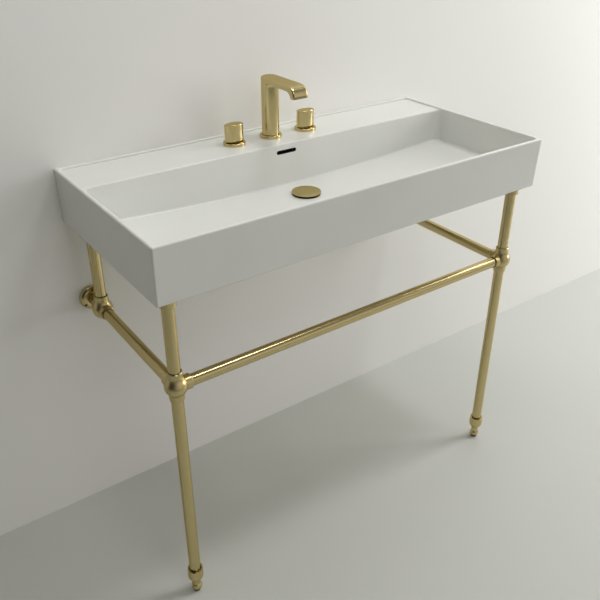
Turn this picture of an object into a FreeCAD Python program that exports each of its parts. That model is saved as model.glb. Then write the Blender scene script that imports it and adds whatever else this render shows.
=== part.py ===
import FreeCAD, Part
import math
import os

Vector = FreeCAD.Vector

# Frame: millimetres, +Z up, +Y into the wall, origin midway between the two wall-bolt holes
# in the back face of the basin, which lies on the wall at Y = 0.

# Fits and cuts shared by all pieces
CUT_OVERRUN = 5.0
SLIDING_FIT = 0.05
MOVING_GAP = 0.3

# Basin, one casting of glazed fireclay
BASIN_WIDTH = 1010.0
BASIN_DEPTH = 470.0
BASIN_HEIGHT = 120.0
BASIN_FRONT_SETBACK = 4.5
BASIN_EDGE_ROUND = 4.0
RIM_ABOVE_FLOOR = 915.0
RIM_ABOVE_BOLTS = 60.0
RIM_WIDTH = 8.5
RIM_INNER_ROUND = 2.5
DECK_DROP = 4.0
DECK_DEPTH = 136.0
DECK_THICKNESS = 15.0
DECK_FRONT_ROUND = 4.0
DECK_CORNER_ROUND = 6.0
BOWL_END_DEPTH = 82.0
BOWL_MIDDLE_DEPTH = 103.0
BOWL_WALL_LEAN = 6.0
BOWL_CORNER_TOP_CUT = 5.0
BOWL_CORNER_LOW_CUT = 23.0
BOWL_CORNER_ROUND = 7.0
BOWL_FLOOR_ROUND = 4.0

# Service pocket behind the bowl, open below
POCKET_WIDTH = 860.0
POCKET_BACK_WALL = 18.0
POCKET_FRONT_WALL = 24.0
POCKET_CORNER_ROUND = 10.0

# Wall bolts that carry the basin
WALL_BOLT_SPACING = 280.0
WALL_BOLT_HOLE_RADIUS = 7.0

# Overflow slot, and the duct from it to the drain
OVERFLOW_SLOT_LENGTH = 55.0
OVERFLOW_SLOT_HEIGHT = 9.5
OVERFLOW_SLOT_BELOW_RIM = 23.0
OVERFLOW_FACE_WALL = 7.0
OVERFLOW_DUCT_DEPTH = 10.0
OVERFLOW_FLOOR_DUCT_WIDTH = 40.0
OVERFLOW_FLOOR_DUCT_HEIGHT = 6.5
OVERFLOW_FLOOR_DUCT_COVER = 4.0

# Drain and its pop-up stopper
DRAIN_FROM_WALL = 217.0
DRAIN_HOLE_RADIUS = 23.0
DRAIN_SEAT_RADIUS = 33.5
DRAIN_SEAT_DEPTH = 3.0
DRAIN_SEAL_RADIUS = 31.0
DRAIN_SEAL_THICKNESS = 1.0
DRAIN_FLANGE_RADIUS = 32.5
DRAIN_FLANGE_THICKNESS = 2.5
DRAIN_MOUTH_BEVEL = 2.0
DRAIN_BODY_RADIUS = 22.5
DRAIN_BODY_WALL = 3.5
DRAIN_BODY_LENGTH = 50.0
DRAIN_NECK_RADIUS = 18.5
DRAIN_NECK_LENGTH = 20.0
DRAIN_SHOULDER = 4.0
DRAIN_GASKET_RADIUS = 31.0
DRAIN_GASKET_THICKNESS = 6.0
DRAIN_WASHER_THICKNESS = 1.5
DRAIN_LOCKNUT_RADIUS = 30.0
DRAIN_LOCKNUT_HEIGHT = 12.0
DRAIN_LOCKNUT_LUGS = 6
DRAIN_LUG_WIDTH = 10.0
DRAIN_LUG_REACH = 3.5
TAILPIECE_RADIUS = 15.875
TAILPIECE_WALL = 1.3
TAILPIECE_LENGTH = 85.0
TAILPIECE_SPIGOT_RADIUS = 15.5
GUIDE_RADIUS = 8.0
GUIDE_LENGTH = 26.0
GUIDE_SPOKES = 3
GUIDE_SPOKE_WIDTH = 3.0
GUIDE_RING_WALL = 2.0
GUIDE_RING_HEIGHT = 6.0
GUIDE_BELOW_FLANGE = 24.0
STOPPER_RADIUS = 34.0
STOPPER_EDGE = 1.4
STOPPER_DOME = 2.2
STOPPER_LIFT = 4.5
STOPPER_BOSS_RADIUS = 14.0
STOPPER_BOSS_HEIGHT = 3.0
STOPPER_SEAL_RADIUS = 18.4
STOPPER_SEAL_HEIGHT = 2.6
STOPPER_STEM_RADIUS = 4.0
STOPPER_STEM_LENGTH = 52.0

# Widespread tap: three bodies in a row through the deck
TAP_FROM_DECK_FRONT = 65.0
HANDLE_SPACING = 203.2
DECK_HOLE_RADIUS = 17.5
SHANK_RADIUS = 16.25
BASE_RING_RADIUS = 26.25
BASE_RING_HEIGHT = 7.0
BASE_RING_ROUND = 2.0
SHANK_BELOW_RING_TOP = 2.0
DECK_GASKET_RADIUS = 23.0
DECK_GASKET_THICKNESS = 1.5
DECK_WASHER_RADIUS = 24.0
DECK_WASHER_THICKNESS = 2.0
DECK_LOCKNUT_FLATS = 42.0
DECK_LOCKNUT_HEIGHT = 9.0

# Handles
KNOB_FACE_RADIUS = 36.2
KNOB_DEPTH = 27.5
KNOB_END_RADIUS = 10.0
KNOB_HEIGHT = 39.5
KNOB_ROUND = 1.5
KNOB_GAP = 1.8
KNOB_SOCKET_DEPTH = 22.0
KNOB_SCREW_RADIUS = 2.0
KNOB_SCREW_RISE = 12.0
KNOB_SCREW_RECESS = 0.6
SPINDLE_RADIUS = 5.0
SPINDLE_FOOT_RADIUS = 8.0
SPINDLE_FOOT_HEIGHT = 15.0

# Valves below the deck
VALVE_BORE_RADIUS = 11.0
VALVE_OUTLET_BELOW_DECK = 26.0
VALVE_SEAT_BELOW_OUTLET = 13.0
VALVE_BODY_BELOW_SEAT = 8.0
VALVE_PORT_RADIUS = 6.0
DISC_THICKNESS = 3.0
DISC_PORT_RADIUS = 2.5
DISC_PORT_OFFSET = 4.2
TURNING_DISC_RADIUS = 9.5
INLET_RADIUS = 10.3
INLET_LENGTH = 24.0
OUTLET_RADIUS = 8.5
OUTLET_REACH = 34.0
OUTLET_BORE_RADIUS = 4.5

# Cross tubes from the valves to the tee under the spout
CROSS_TUBE_RADIUS = 6.0
CROSS_TUBE_WALL = 1.0
CROSS_NUT_FLATS = 22.0
CROSS_NUT_LENGTH = 14.0
CROSS_NUT_GRIP = 8.0
TEE_HEIGHT = 20.0
TEE_REACH = 30.0
TEE_SPIGOT_RADIUS = 9.0
TEE_SPIGOT_LENGTH = 10.0

# Spout
SPOUT_RADIUS = 20.5
SPOUT_TOP_ABOVE_DECK = 143.0
SPOUT_REACH = 124.5
SPOUT_ARM_THICKNESS = 13.0
SPOUT_BEND_ROUND = 24.0
SPOUT_OUTLET_DROP = 27.0
SPOUT_NOZZLE_DEPTH = 11.5
SPOUT_NOZZLE_ROOT_DEPTH = 26.0
SPOUT_NOZZLE_HOLLOW = 3.0
SPOUT_ARM_ROUND = 9.0
SPOUT_EDGE_ROUND = 5.0
SPOUT_SPIGOT_RADIUS = 11.0
SPOUT_SPIGOT_LENGTH = 20.0
SPOUT_BORE_RADIUS = 6.0
SPOUT_DUCT_WIDTH = 22.0
SPOUT_DUCT_HEIGHT = 5.0
AERATOR_WIDTH = 28.0
AERATOR_DEPTH = 7.5
AERATOR_HEIGHT = 7.0
AERATOR_WALL = 1.2
AERATOR_SLOTS = 5
AERATOR_SLOT_WIDTH = 2.4
AERATOR_SLOT_DEPTH = 3.4

# Console stand of round tube
STAND_SIDE_INSET = 36.0
LEG_FRONT_INSET = 39.0
REAR_POST_FROM_WALL = 67.0
RAIL_ABOVE_FLOOR = 591.5
LEG_TUBE_RADIUS = 12.7
RAIL_TUBE_RADIUS = 12.7
TUBE_WALL = 1.5

# Ball fittings that join the tubes
BALL_RADIUS = 23.5
SOCKET_RADIUS = 15.9
SOCKET_CHAMFER = 1.2
SOCKET_FLARE_ROUND = 24.0
UPPER_SOCKET_REACH = 35.0
LOWER_SOCKET_REACH = 33.0
LOWER_SOCKET_TAPER = 8.0
RAIL_SOCKET_REACH = 32.0
WALL_SOCKET_REACH = 28.0
TUBE_STOP = 16.0
NUB_RADIUS = 6.0
NUB_HEIGHT = 3.0
SET_SCREW_RADIUS = 2.5
SET_SCREW_FROM_END = 7.0
SET_SCREW_RECESS = 0.4
SET_SCREW_KEY_FLATS = 2.5
SET_SCREW_KEY_DEPTH = 1.4

# Wall flanges
WALL_FLANGE_RADIUS = 30.0
WALL_FLANGE_EDGE = 3.0
WALL_FLANGE_HEIGHT = 14.0
WALL_FLANGE_CROWN_RADIUS = 17.5
WALL_FLANGE_BULGE = 3.2
WALL_SCREW_COUNT = 3
WALL_SCREW_CIRCLE_RADIUS = 23.0
WALL_SCREW_HOLE_RADIUS = 3.0
WALL_STUB_BACK_GAP = 1.5

# Sockets and pads at the tops of the posts
TOP_SOCKET_RADIUS = 17.5
TOP_SOCKET_HEIGHT = 19.5
TOP_SOCKET_ROUND = 1.5
TOP_SOCKET_PLATE = 5.0
TOP_FLANGE_RADIUS = 25.5
TOP_FLANGE_THICKNESS = 2.5
TOP_PAD_THICKNESS = 2.0

# Foot cups and levelling feet, heights above the floor
FOOT_CUP_RADIUS = 17.6
FOOT_CUP_BOTTOM = 37.0
FOOT_CUP_SHOULDER = 54.0
FOOT_CUP_TOP = 71.0
FOOT_CUP_NECK_RADIUS = 11.0
FOOT_CUP_BULGE = 2.8
FOOT_CUP_BASE = 7.0
FOOT_CUP_MOUTH_RADIUS = 14.3
FOOT_CUP_MOUTH_DEPTH = 4.0
FOOT_BALL_RADIUS = 12.3
FOOT_BALL_HEIGHT = 13.0
FOOT_NECK_RADIUS = 9.5
FOOT_STUD_RADIUS = 5.0
FOOT_STUD_LENGTH = 30.0
FOOT_PAD_RADIUS = 8.0
FOOT_PAD_THICKNESS = 2.5

# Places worked out from the sizes above
RIM_Z = RIM_ABOVE_BOLTS
DECK_Z = RIM_Z - DECK_DROP
DECK_UNDER_Z = DECK_Z - DECK_THICKNESS
BASIN_BOTTOM_Z = RIM_Z - BASIN_HEIGHT
FLOOR_Z = RIM_Z - RIM_ABOVE_FLOOR
RAIL_Z = FLOOR_Z + RAIL_ABOVE_FLOOR
BOWL_END_Z = RIM_Z - BOWL_END_DEPTH
BOWL_MIDDLE_Z = RIM_Z - BOWL_MIDDLE_DEPTH
HALF_WIDTH = BASIN_WIDTH / 2
HALF_OPENING = HALF_WIDTH - RIM_WIDTH
TAP_Y = -(DECK_DEPTH - TAP_FROM_DECK_FRONT)
DRAIN_Y = -DRAIN_FROM_WALL
STAND_X = HALF_WIDTH - STAND_SIDE_INSET
FRONT_Y = -(BASIN_DEPTH - LEG_FRONT_INSET)
REAR_Y = -REAR_POST_FROM_WALL
SIDES = {"left": -1, "right": 1}

ALONG_X = Vector(1, 0, 0)
ALONG_Y = Vector(0, 1, 0)
UP = Vector(0, 0, 1)


# Basic shapes
def box(x0, x1, y0, y1, z0, z1):
    return Part.makeBox(x1 - x0, y1 - y0, z1 - z0, Vector(x0, y0, z0))


def rod(start, direction, radius, length):
    return Part.makeCylinder(radius, length, start, direction)


def tube(start, direction, outer, inner, length):
    overrun = direction * CUT_OVERRUN
    bore = rod(start - overrun, direction, inner, length + 2 * CUT_OVERRUN)
    return rod(start, direction, outer, length).cut(bore)


def hexagon(start, direction, flats, length):
    corner_radius = flats / math.sqrt(3)
    turns = [2 * math.pi * side / 6 for side in range(6)]
    corners = [Vector(corner_radius * math.cos(t), corner_radius * math.sin(t), 0) for t in turns]
    face = Part.Face(Part.makePolygon(corners + corners[:1]))
    prism = face.extrude(UP * length)
    prism.Placement = FreeCAD.Placement(start, FreeCAD.Rotation(UP, direction))
    return prism


def slot_prism(start, direction, long_side, short_side, length):
    half = (long_side - short_side) / 2
    radius = short_side / 2
    corners = [Vector(-half, radius, 0), Vector(half, radius, 0)]
    corners += [Vector(half, -radius, 0), Vector(-half, -radius, 0)]
    right_end = Vector(half + radius, 0, 0)
    left_end = Vector(-half - radius, 0, 0)
    edges = [
        Part.LineSegment(corners[0], corners[1]).toShape(),
        Part.Arc(corners[1], right_end, corners[2]).toShape(),
        Part.LineSegment(corners[2], corners[3]).toShape(),
        Part.Arc(corners[3], left_end, corners[0]).toShape(),
    ]
    prism = Part.Face(Part.Wire(edges)).extrude(UP * length)
    prism.Placement = FreeCAD.Placement(start, FreeCAD.Rotation(UP, direction))
    return prism


def outline_edges(stretches, place):
    """Edges through flat points; a stretch of two points is a line, one of three an arc."""
    edges = []
    for stretch in stretches:
        points = [place(*point) for point in stretch]
        curve = Part.LineSegment(*points) if len(points) == 2 else Part.Arc(*points)
        edges.append(curve.toShape())
    return edges


def turned(stretches, centre, direction=UP):
    """Solid turned about an axis; the outline is in radius and height along the axis."""
    edges = outline_edges(stretches, lambda radius, height: Vector(radius, 0, height))
    solid = Part.Face(Part.Wire(edges)).revolve(Vector(0, 0, 0), UP, 360)
    solid.Placement = FreeCAD.Placement(centre, FreeCAD.Rotation(UP, direction))
    return solid


def lines_through(points):
    return [(points[i], points[(i + 1) % len(points)]) for i in range(len(points))]


def bulged(start, end, bulge):
    """Middle point of an arc that bows outwards, to the right of the way from start to end."""
    run = (end[0] - start[0], end[1] - start[1])
    length = math.hypot(*run)
    middle = ((start[0] + end[0]) / 2, (start[1] + end[1]) / 2)
    return (middle[0] + bulge * run[1] / length, middle[1] - bulge * run[0] / length)


def side_prism(stretches, half_width):
    """Solid with an outline in Y and Z, as wide as given along X."""
    edges = outline_edges(stretches, lambda y, z: Vector(-half_width, y, z))
    return Part.Face(Part.Wire(edges)).extrude(ALONG_X * (2 * half_width))


def rounded(shape, radius, wanted):
    return shape.makeFillet(radius, [edge for edge in shape.Edges if wanted(edge)])


def runs_along(edge, direction):
    if not isinstance(edge.Curve, (Part.Line, Part.LineSegment)):
        return False
    return abs(edge.tangentAt(edge.FirstParameter).dot(direction)) > math.cos(math.radians(10))


def spans(edge, axis, value):
    """True where the whole edge lies at one place along an axis, given by its letter."""
    low = getattr(edge.BoundBox, axis + "Min")
    high = getattr(edge.BoundBox, axis + "Max")
    return abs(low - value) < SLIDING_FIT and abs(high - value) < SLIDING_FIT


# Basin
def basin_block():
    front_foot = -(BASIN_DEPTH - BASIN_FRONT_SETBACK)
    outline = [(0, BASIN_BOTTOM_Z), (0, RIM_Z), (-BASIN_DEPTH, RIM_Z), (front_foot, BASIN_BOTTOM_Z)]
    block = side_prism(lines_through(outline), HALF_WIDTH)
    return rounded(block, BASIN_EDGE_ROUND, lambda edge: not spans(edge, "Y", 0))


def leaning_void(back, back_lean, low_cut, top_cut):
    """Room with walls that lean in from the rim to the bottom of the basin, its corners cut flat if asked."""
    top = RIM_Z + CUT_OVERRUN
    lean = BOWL_WALL_LEAN / BASIN_HEIGHT
    rings = []
    for z, cut in ((BASIN_BOTTOM_Z, low_cut), (top, top_cut)):
        inset = lean * (RIM_Z - z)
        x = HALF_OPENING - inset
        y_back = back - back_lean * inset
        y_front = -(BASIN_DEPTH - RIM_WIDTH - inset)
        plan = [
            (-x, y_back - cut), (cut - x, y_back), (x - cut, y_back), (x, y_back - cut),
            (x, y_front + cut), (x - cut, y_front), (cut - x, y_front), (-x, y_front + cut),
        ]
        rings.append([Vector(*point, z) for point in (plan if cut else plan[::2])])
    low, high = rings
    count = len(low)
    faces = [low, high]
    faces += [[low[i], low[(i + 1) % count], high[(i + 1) % count], high[i]] for i in range(count)]
    shell = Part.makeShell([Part.Face(Part.makePolygon(face + face[:1])) for face in faces])
    solid = Part.makeSolid(shell)
    if solid.Volume < 0:
        solid.reverse()
    return solid


def bowl_void():
    void = leaning_void(-DECK_DEPTH, 1, BOWL_CORNER_LOW_CUT, BOWL_CORNER_TOP_CUT)
    void = rounded(void, BOWL_CORNER_ROUND, lambda edge: edge.BoundBox.ZLength > BASIN_HEIGHT)
    below = BASIN_BOTTOM_Z - CUT_OVERRUN
    ends = [(-HALF_OPENING, BOWL_END_Z), (0, BOWL_MIDDLE_Z), (HALF_OPENING, BOWL_END_Z)]
    stretches = [
        tuple(ends),
        (ends[2], (HALF_OPENING, below)),
        ((HALF_OPENING, below), (-HALF_OPENING, below)),
        ((-HALF_OPENING, below), ends[0]),
    ]
    edges = outline_edges(stretches, lambda x, z: Vector(x, 0, z))
    under_floor = Part.Face(Part.Wire(edges)).extrude(-ALONG_Y * BASIN_DEPTH)
    void = void.cut(under_floor)
    lowest = (BOWL_END_Z + DECK_UNDER_Z) / 2
    return rounded(void, BOWL_FLOOR_ROUND, lambda edge: edge.BoundBox.ZMax < lowest)


def deck_void():
    """Recess over the tap deck, with the rounded front edge of the deck."""
    void = leaning_void(-RIM_WIDTH, 0, 0, 0)
    back = -RIM_WIDTH
    void = rounded(
        void, DECK_CORNER_ROUND, lambda edge: runs_along(edge, UP) and edge.BoundBox.YMin > 2 * back
    )
    front = -DECK_DEPTH - 2 * BOWL_CORNER_LOW_CUT
    round_end = (-DECK_DEPTH, DECK_Z - DECK_FRONT_ROUND)
    round_start = (-DECK_DEPTH + DECK_FRONT_ROUND, DECK_Z)
    slant = DECK_FRONT_ROUND * math.sqrt(0.5)
    round_middle = (round_start[0] - slant, round_end[1] + slant)
    top = RIM_Z + 2 * CUT_OVERRUN
    stretches = [
        ((0, DECK_Z), round_start),
        (round_start, round_middle, round_end),
        (round_end, (front, round_end[1])),
        ((front, round_end[1]), (front, top)),
        ((front, top), (0, top)),
        ((0, top), (0, DECK_Z)),
    ]
    return void.common(side_prism(stretches, HALF_WIDTH))


def overflow_void():
    slot_z = RIM_Z - OVERFLOW_SLOT_BELOW_RIM
    duct_front = -(DECK_DEPTH - OVERFLOW_FACE_WALL)
    duct_back = duct_front + OVERFLOW_DUCT_DEPTH
    duct_low = BASIN_BOTTOM_Z + OVERFLOW_FLOOR_DUCT_COVER
    half_slot = OVERFLOW_SLOT_LENGTH / 2
    slot_start = Vector(0, duct_back, slot_z)
    slot_length = DECK_DEPTH + BOWL_WALL_LEAN + duct_back
    slot = slot_prism(slot_start, -ALONG_Y, OVERFLOW_SLOT_LENGTH, OVERFLOW_SLOT_HEIGHT, slot_length)
    duct_top = slot_z + OVERFLOW_SLOT_HEIGHT / 2
    upright = box(-half_slot, half_slot, duct_front, duct_back, duct_low, duct_top)
    half_duct = OVERFLOW_FLOOR_DUCT_WIDTH / 2
    duct_high = duct_low + OVERFLOW_FLOOR_DUCT_HEIGHT
    level = box(-half_duct, half_duct, DRAIN_Y, duct_back, duct_low, duct_high)
    return upright.fuse([level, slot])


def make_basin():
    opening = bowl_void().fuse(deck_void()).removeSplitter()
    basin = basin_block().cut(opening)
    basin = rounded(
        basin,
        RIM_INNER_ROUND,
        lambda edge: spans(edge, "Z", RIM_Z) and abs(edge.CenterOfMass.x) < HALF_OPENING + SLIDING_FIT
        and -(BASIN_DEPTH - RIM_WIDTH) - SLIDING_FIT < edge.CenterOfMass.y < -RIM_WIDTH + SLIDING_FIT,
    )
    half_pocket = POCKET_WIDTH / 2
    pocket_front = -(DECK_DEPTH - POCKET_FRONT_WALL)
    below = BASIN_BOTTOM_Z - CUT_OVERRUN
    pocket = box(-half_pocket, half_pocket, pocket_front, -POCKET_BACK_WALL, below, DECK_UNDER_Z)
    pocket = rounded(pocket, POCKET_CORNER_ROUND, lambda edge: runs_along(edge, UP))
    cuts = [pocket, overflow_void()]
    for x in (-HANDLE_SPACING / 2, 0, HANDLE_SPACING / 2):
        start = Vector(x, TAP_Y, DECK_UNDER_Z - CUT_OVERRUN)
        cuts.append(rod(start, UP, DECK_HOLE_RADIUS, DECK_THICKNESS + 2 * CUT_OVERRUN))
    for side in SIDES.values():
        start = Vector(side * WALL_BOLT_SPACING / 2, -POCKET_BACK_WALL - CUT_OVERRUN, 0)
        cuts.append(rod(start, ALONG_Y, WALL_BOLT_HOLE_RADIUS, POCKET_BACK_WALL + 2 * CUT_OVERRUN))
    cuts.append(rod(Vector(0, DRAIN_Y, below), UP, DRAIN_HOLE_RADIUS, BOWL_MIDDLE_Z - below))
    seat_z = BOWL_MIDDLE_Z - DRAIN_SEAT_DEPTH
    cuts.append(rod(Vector(0, DRAIN_Y, seat_z), UP, DRAIN_SEAT_RADIUS, DRAIN_SEAT_DEPTH + CUT_OVERRUN))
    return basin.cut(cuts)


# Drain, from the seat in the bowl down to the tailpiece
SEAT_Z = BOWL_MIDDLE_Z - DRAIN_SEAT_DEPTH
FLANGE_UNDER_Z = SEAT_Z + DRAIN_SEAL_THICKNESS
FLANGE_TOP_Z = FLANGE_UNDER_Z + DRAIN_FLANGE_THICKNESS
DRAIN_BORE_RADIUS = DRAIN_BODY_RADIUS - DRAIN_BODY_WALL
DRAIN_BODY_LOW_Z = FLANGE_UNDER_Z - DRAIN_BODY_LENGTH
TAILPIECE_BORE_RADIUS = TAILPIECE_RADIUS - TAILPIECE_WALL
DRAIN_TOP = Vector(0, DRAIN_Y, 0)
AROUND_DRAIN_BODY = DRAIN_BODY_RADIUS + SLIDING_FIT
GASKET_LOW_Z = BASIN_BOTTOM_Z - DRAIN_GASKET_THICKNESS
CAP_UNDER_Z = FLANGE_TOP_Z + STOPPER_LIFT
CAP_BOSS_LOW_Z = CAP_UNDER_Z - STOPPER_BOSS_HEIGHT


def at_height(place, z):
    return Vector(place.x, place.y, z)


def make_drain_body():
    """Flanged tube with overflow ports, closing in to the neck that takes the tailpiece."""
    neck_low = DRAIN_BODY_LOW_Z - DRAIN_NECK_LENGTH
    shoulder_z = DRAIN_BODY_LOW_Z - DRAIN_SHOULDER
    neck_bore = TAILPIECE_SPIGOT_RADIUS + SLIDING_FIT
    mouth = DRAIN_BORE_RADIUS + DRAIN_MOUTH_BEVEL
    outline = [
        (mouth, FLANGE_TOP_Z),
        (DRAIN_FLANGE_RADIUS, FLANGE_TOP_Z),
        (DRAIN_FLANGE_RADIUS, FLANGE_UNDER_Z),
        (DRAIN_BODY_RADIUS, FLANGE_UNDER_Z),
        (DRAIN_BODY_RADIUS, DRAIN_BODY_LOW_Z),
        (DRAIN_NECK_RADIUS, shoulder_z),
        (DRAIN_NECK_RADIUS, neck_low),
        (neck_bore, neck_low),
        (neck_bore, shoulder_z),
        (TAILPIECE_BORE_RADIUS, shoulder_z),
        (TAILPIECE_BORE_RADIUS, DRAIN_BODY_LOW_Z),
        (DRAIN_BORE_RADIUS, DRAIN_BODY_LOW_Z + DRAIN_SHOULDER),
        (DRAIN_BORE_RADIUS, FLANGE_TOP_Z - DRAIN_MOUTH_BEVEL),
    ]
    body = turned(lines_through(outline), DRAIN_TOP)
    port_low = BASIN_BOTTOM_Z + OVERFLOW_FLOOR_DUCT_COVER
    port_high = port_low + OVERFLOW_FLOOR_DUCT_HEIGHT
    half_port = DRAIN_BORE_RADIUS / 2
    reach = DRAIN_BODY_RADIUS + CUT_OVERRUN
    along_y = box(-half_port, half_port, DRAIN_Y - reach, DRAIN_Y + reach, port_low, port_high)
    return body.cut(along_y)


def make_drain_locknut():
    low = GASKET_LOW_Z - DRAIN_WASHER_THICKNESS - DRAIN_LOCKNUT_HEIGHT
    nut = rod(at_height(DRAIN_TOP, low), UP, DRAIN_LOCKNUT_RADIUS, DRAIN_LOCKNUT_HEIGHT)
    for lug in range(DRAIN_LOCKNUT_LUGS):
        half = DRAIN_LUG_WIDTH / 2
        reach = DRAIN_LOCKNUT_RADIUS + DRAIN_LUG_REACH
        block = box(0, reach, -half, half, 0, DRAIN_LOCKNUT_HEIGHT)
        block.rotate(Vector(0, 0, 0), UP, 360 * lug / DRAIN_LOCKNUT_LUGS)
        block.translate(at_height(DRAIN_TOP, low))
        nut = nut.fuse(block)
    bore_start = at_height(DRAIN_TOP, low - CUT_OVERRUN)
    bore = rod(bore_start, UP, AROUND_DRAIN_BODY, DRAIN_LOCKNUT_HEIGHT + 2 * CUT_OVERRUN)
    return nut.cut(bore).removeSplitter()


def make_stopper_guide():
    """Ring pressed into the drain body, with spokes to the tube that guides the stem."""
    ring_top = FLANGE_TOP_Z - GUIDE_BELOW_FLANGE
    ring_low = ring_top - GUIDE_RING_HEIGHT
    ring_outer = DRAIN_BORE_RADIUS - SLIDING_FIT
    ring_inner = ring_outer - GUIDE_RING_WALL
    guide = tube(at_height(DRAIN_TOP, ring_low), UP, ring_outer, ring_inner, GUIDE_RING_HEIGHT)
    sleeve_low = ring_top - GUIDE_LENGTH
    sleeve = rod(at_height(DRAIN_TOP, sleeve_low), UP, GUIDE_RADIUS, GUIDE_LENGTH)
    half = GUIDE_SPOKE_WIDTH / 2
    spokes = []
    for spoke in range(GUIDE_SPOKES):
        bar = box(0, ring_outer - GUIDE_RING_WALL / 2, -half, half, 0, GUIDE_RING_HEIGHT)
        bar.rotate(Vector(0, 0, 0), UP, 360 * spoke / GUIDE_SPOKES)
        bar.translate(at_height(DRAIN_TOP, ring_low))
        spokes.append(bar)
    guide = guide.fuse([sleeve] + spokes)
    bore_start = at_height(DRAIN_TOP, sleeve_low - CUT_OVERRUN)
    bore_length = GUIDE_LENGTH + 2 * CUT_OVERRUN
    bore = rod(bore_start, UP, STOPPER_STEM_RADIUS + SLIDING_FIT, bore_length)
    return guide.cut(bore).removeSplitter()


def make_stopper_cap():
    edge_top = (STOPPER_RADIUS, CAP_UNDER_Z + STOPPER_EDGE)
    crown = (0, CAP_UNDER_Z + STOPPER_EDGE + STOPPER_DOME)
    quarter_drop = STOPPER_DOME / 4
    shoulder = (STOPPER_RADIUS / 2, crown[1] - quarter_drop)
    socket = STOPPER_STEM_RADIUS + SLIDING_FIT
    stretches = [
        (crown, shoulder, edge_top),
        (edge_top, (STOPPER_RADIUS, CAP_UNDER_Z)),
        ((STOPPER_RADIUS, CAP_UNDER_Z), (STOPPER_BOSS_RADIUS, CAP_UNDER_Z)),
        ((STOPPER_BOSS_RADIUS, CAP_UNDER_Z), (STOPPER_BOSS_RADIUS, CAP_BOSS_LOW_Z)),
        ((STOPPER_BOSS_RADIUS, CAP_BOSS_LOW_Z), (socket, CAP_BOSS_LOW_Z)),
        ((socket, CAP_BOSS_LOW_Z), (socket, CAP_UNDER_Z)),
        ((socket, CAP_UNDER_Z), (0, CAP_UNDER_Z)),
        ((0, CAP_UNDER_Z), crown),
    ]
    return turned(stretches, DRAIN_TOP)


def make_tailpiece():
    """Waste tube with a narrower top end that stands in the neck of the drain body."""
    tail_top = DRAIN_BODY_LOW_Z - DRAIN_SHOULDER
    spigot_length = DRAIN_NECK_LENGTH - DRAIN_SHOULDER
    low = at_height(DRAIN_TOP, tail_top - TAILPIECE_LENGTH)
    free = rod(low, UP, TAILPIECE_RADIUS, TAILPIECE_LENGTH - spigot_length)
    whole = rod(low, UP, TAILPIECE_SPIGOT_RADIUS, TAILPIECE_LENGTH).fuse(free)
    return whole.cut(rod(low, UP, TAILPIECE_BORE_RADIUS, TAILPIECE_LENGTH)).removeSplitter()


def drain_parts():
    seal_inner = DRAIN_HOLE_RADIUS
    washer_z = GASKET_LOW_Z - DRAIN_WASHER_THICKNESS
    stem_low = at_height(DRAIN_TOP, CAP_UNDER_Z - STOPPER_STEM_LENGTH)
    stopper_seal_low = at_height(DRAIN_TOP, CAP_UNDER_Z - STOPPER_SEAL_HEIGHT)
    boss = STOPPER_BOSS_RADIUS + SLIDING_FIT
    seat = at_height(DRAIN_TOP, SEAT_Z)
    gasket_low = at_height(DRAIN_TOP, GASKET_LOW_Z)
    washer_low = at_height(DRAIN_TOP, washer_z)
    around = AROUND_DRAIN_BODY
    return {
        "drain_body": make_drain_body(),
        "drain_flange_seal": tube(seat, UP, DRAIN_SEAL_RADIUS, seal_inner, DRAIN_SEAL_THICKNESS),
        "drain_gasket": tube(gasket_low, UP, DRAIN_GASKET_RADIUS, around, DRAIN_GASKET_THICKNESS),
        "drain_washer": tube(washer_low, UP, DRAIN_GASKET_RADIUS, around, DRAIN_WASHER_THICKNESS),
        "drain_locknut": make_drain_locknut(),
        "drain_tailpiece": make_tailpiece(),
        "stopper_guide": make_stopper_guide(),
        "stopper_cap": make_stopper_cap(),
        "stopper_stem": rod(stem_low, UP, STOPPER_STEM_RADIUS, STOPPER_STEM_LENGTH),
        "stopper_seal": tube(stopper_seal_low, UP, STOPPER_SEAL_RADIUS, boss, STOPPER_SEAL_HEIGHT),
    }


# Tap pieces that the spout and both valves share
RING_TOP_Z = DECK_Z + BASE_RING_HEIGHT
SHANK_TOP_Z = RING_TOP_Z - SHANK_BELOW_RING_TOP
WASHER_LOW_Z = DECK_UNDER_Z - DECK_WASHER_THICKNESS
LOCKNUT_LOW_Z = WASHER_LOW_Z - DECK_LOCKNUT_HEIGHT
AROUND_SHANK = SHANK_RADIUS + SLIDING_FIT


def tap_place(side):
    return Vector(side * HANDLE_SPACING / 2, TAP_Y, 0)


def make_base_ring(place, bore_radius):
    ring = rod(at_height(place, DECK_Z), UP, BASE_RING_RADIUS, BASE_RING_HEIGHT)
    ring = rounded(ring, BASE_RING_ROUND, lambda edge: spans(edge, "Z", RING_TOP_Z))
    groove = rod(at_height(place, DECK_Z), UP, DECK_GASKET_RADIUS, DECK_GASKET_THICKNESS)
    shank_room = rod(at_height(place, DECK_Z), UP, AROUND_SHANK, SHANK_TOP_Z - DECK_Z)
    bore = rod(at_height(place, DECK_Z), UP, bore_radius, BASE_RING_HEIGHT)
    return ring.cut([groove, shank_room, bore])


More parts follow.
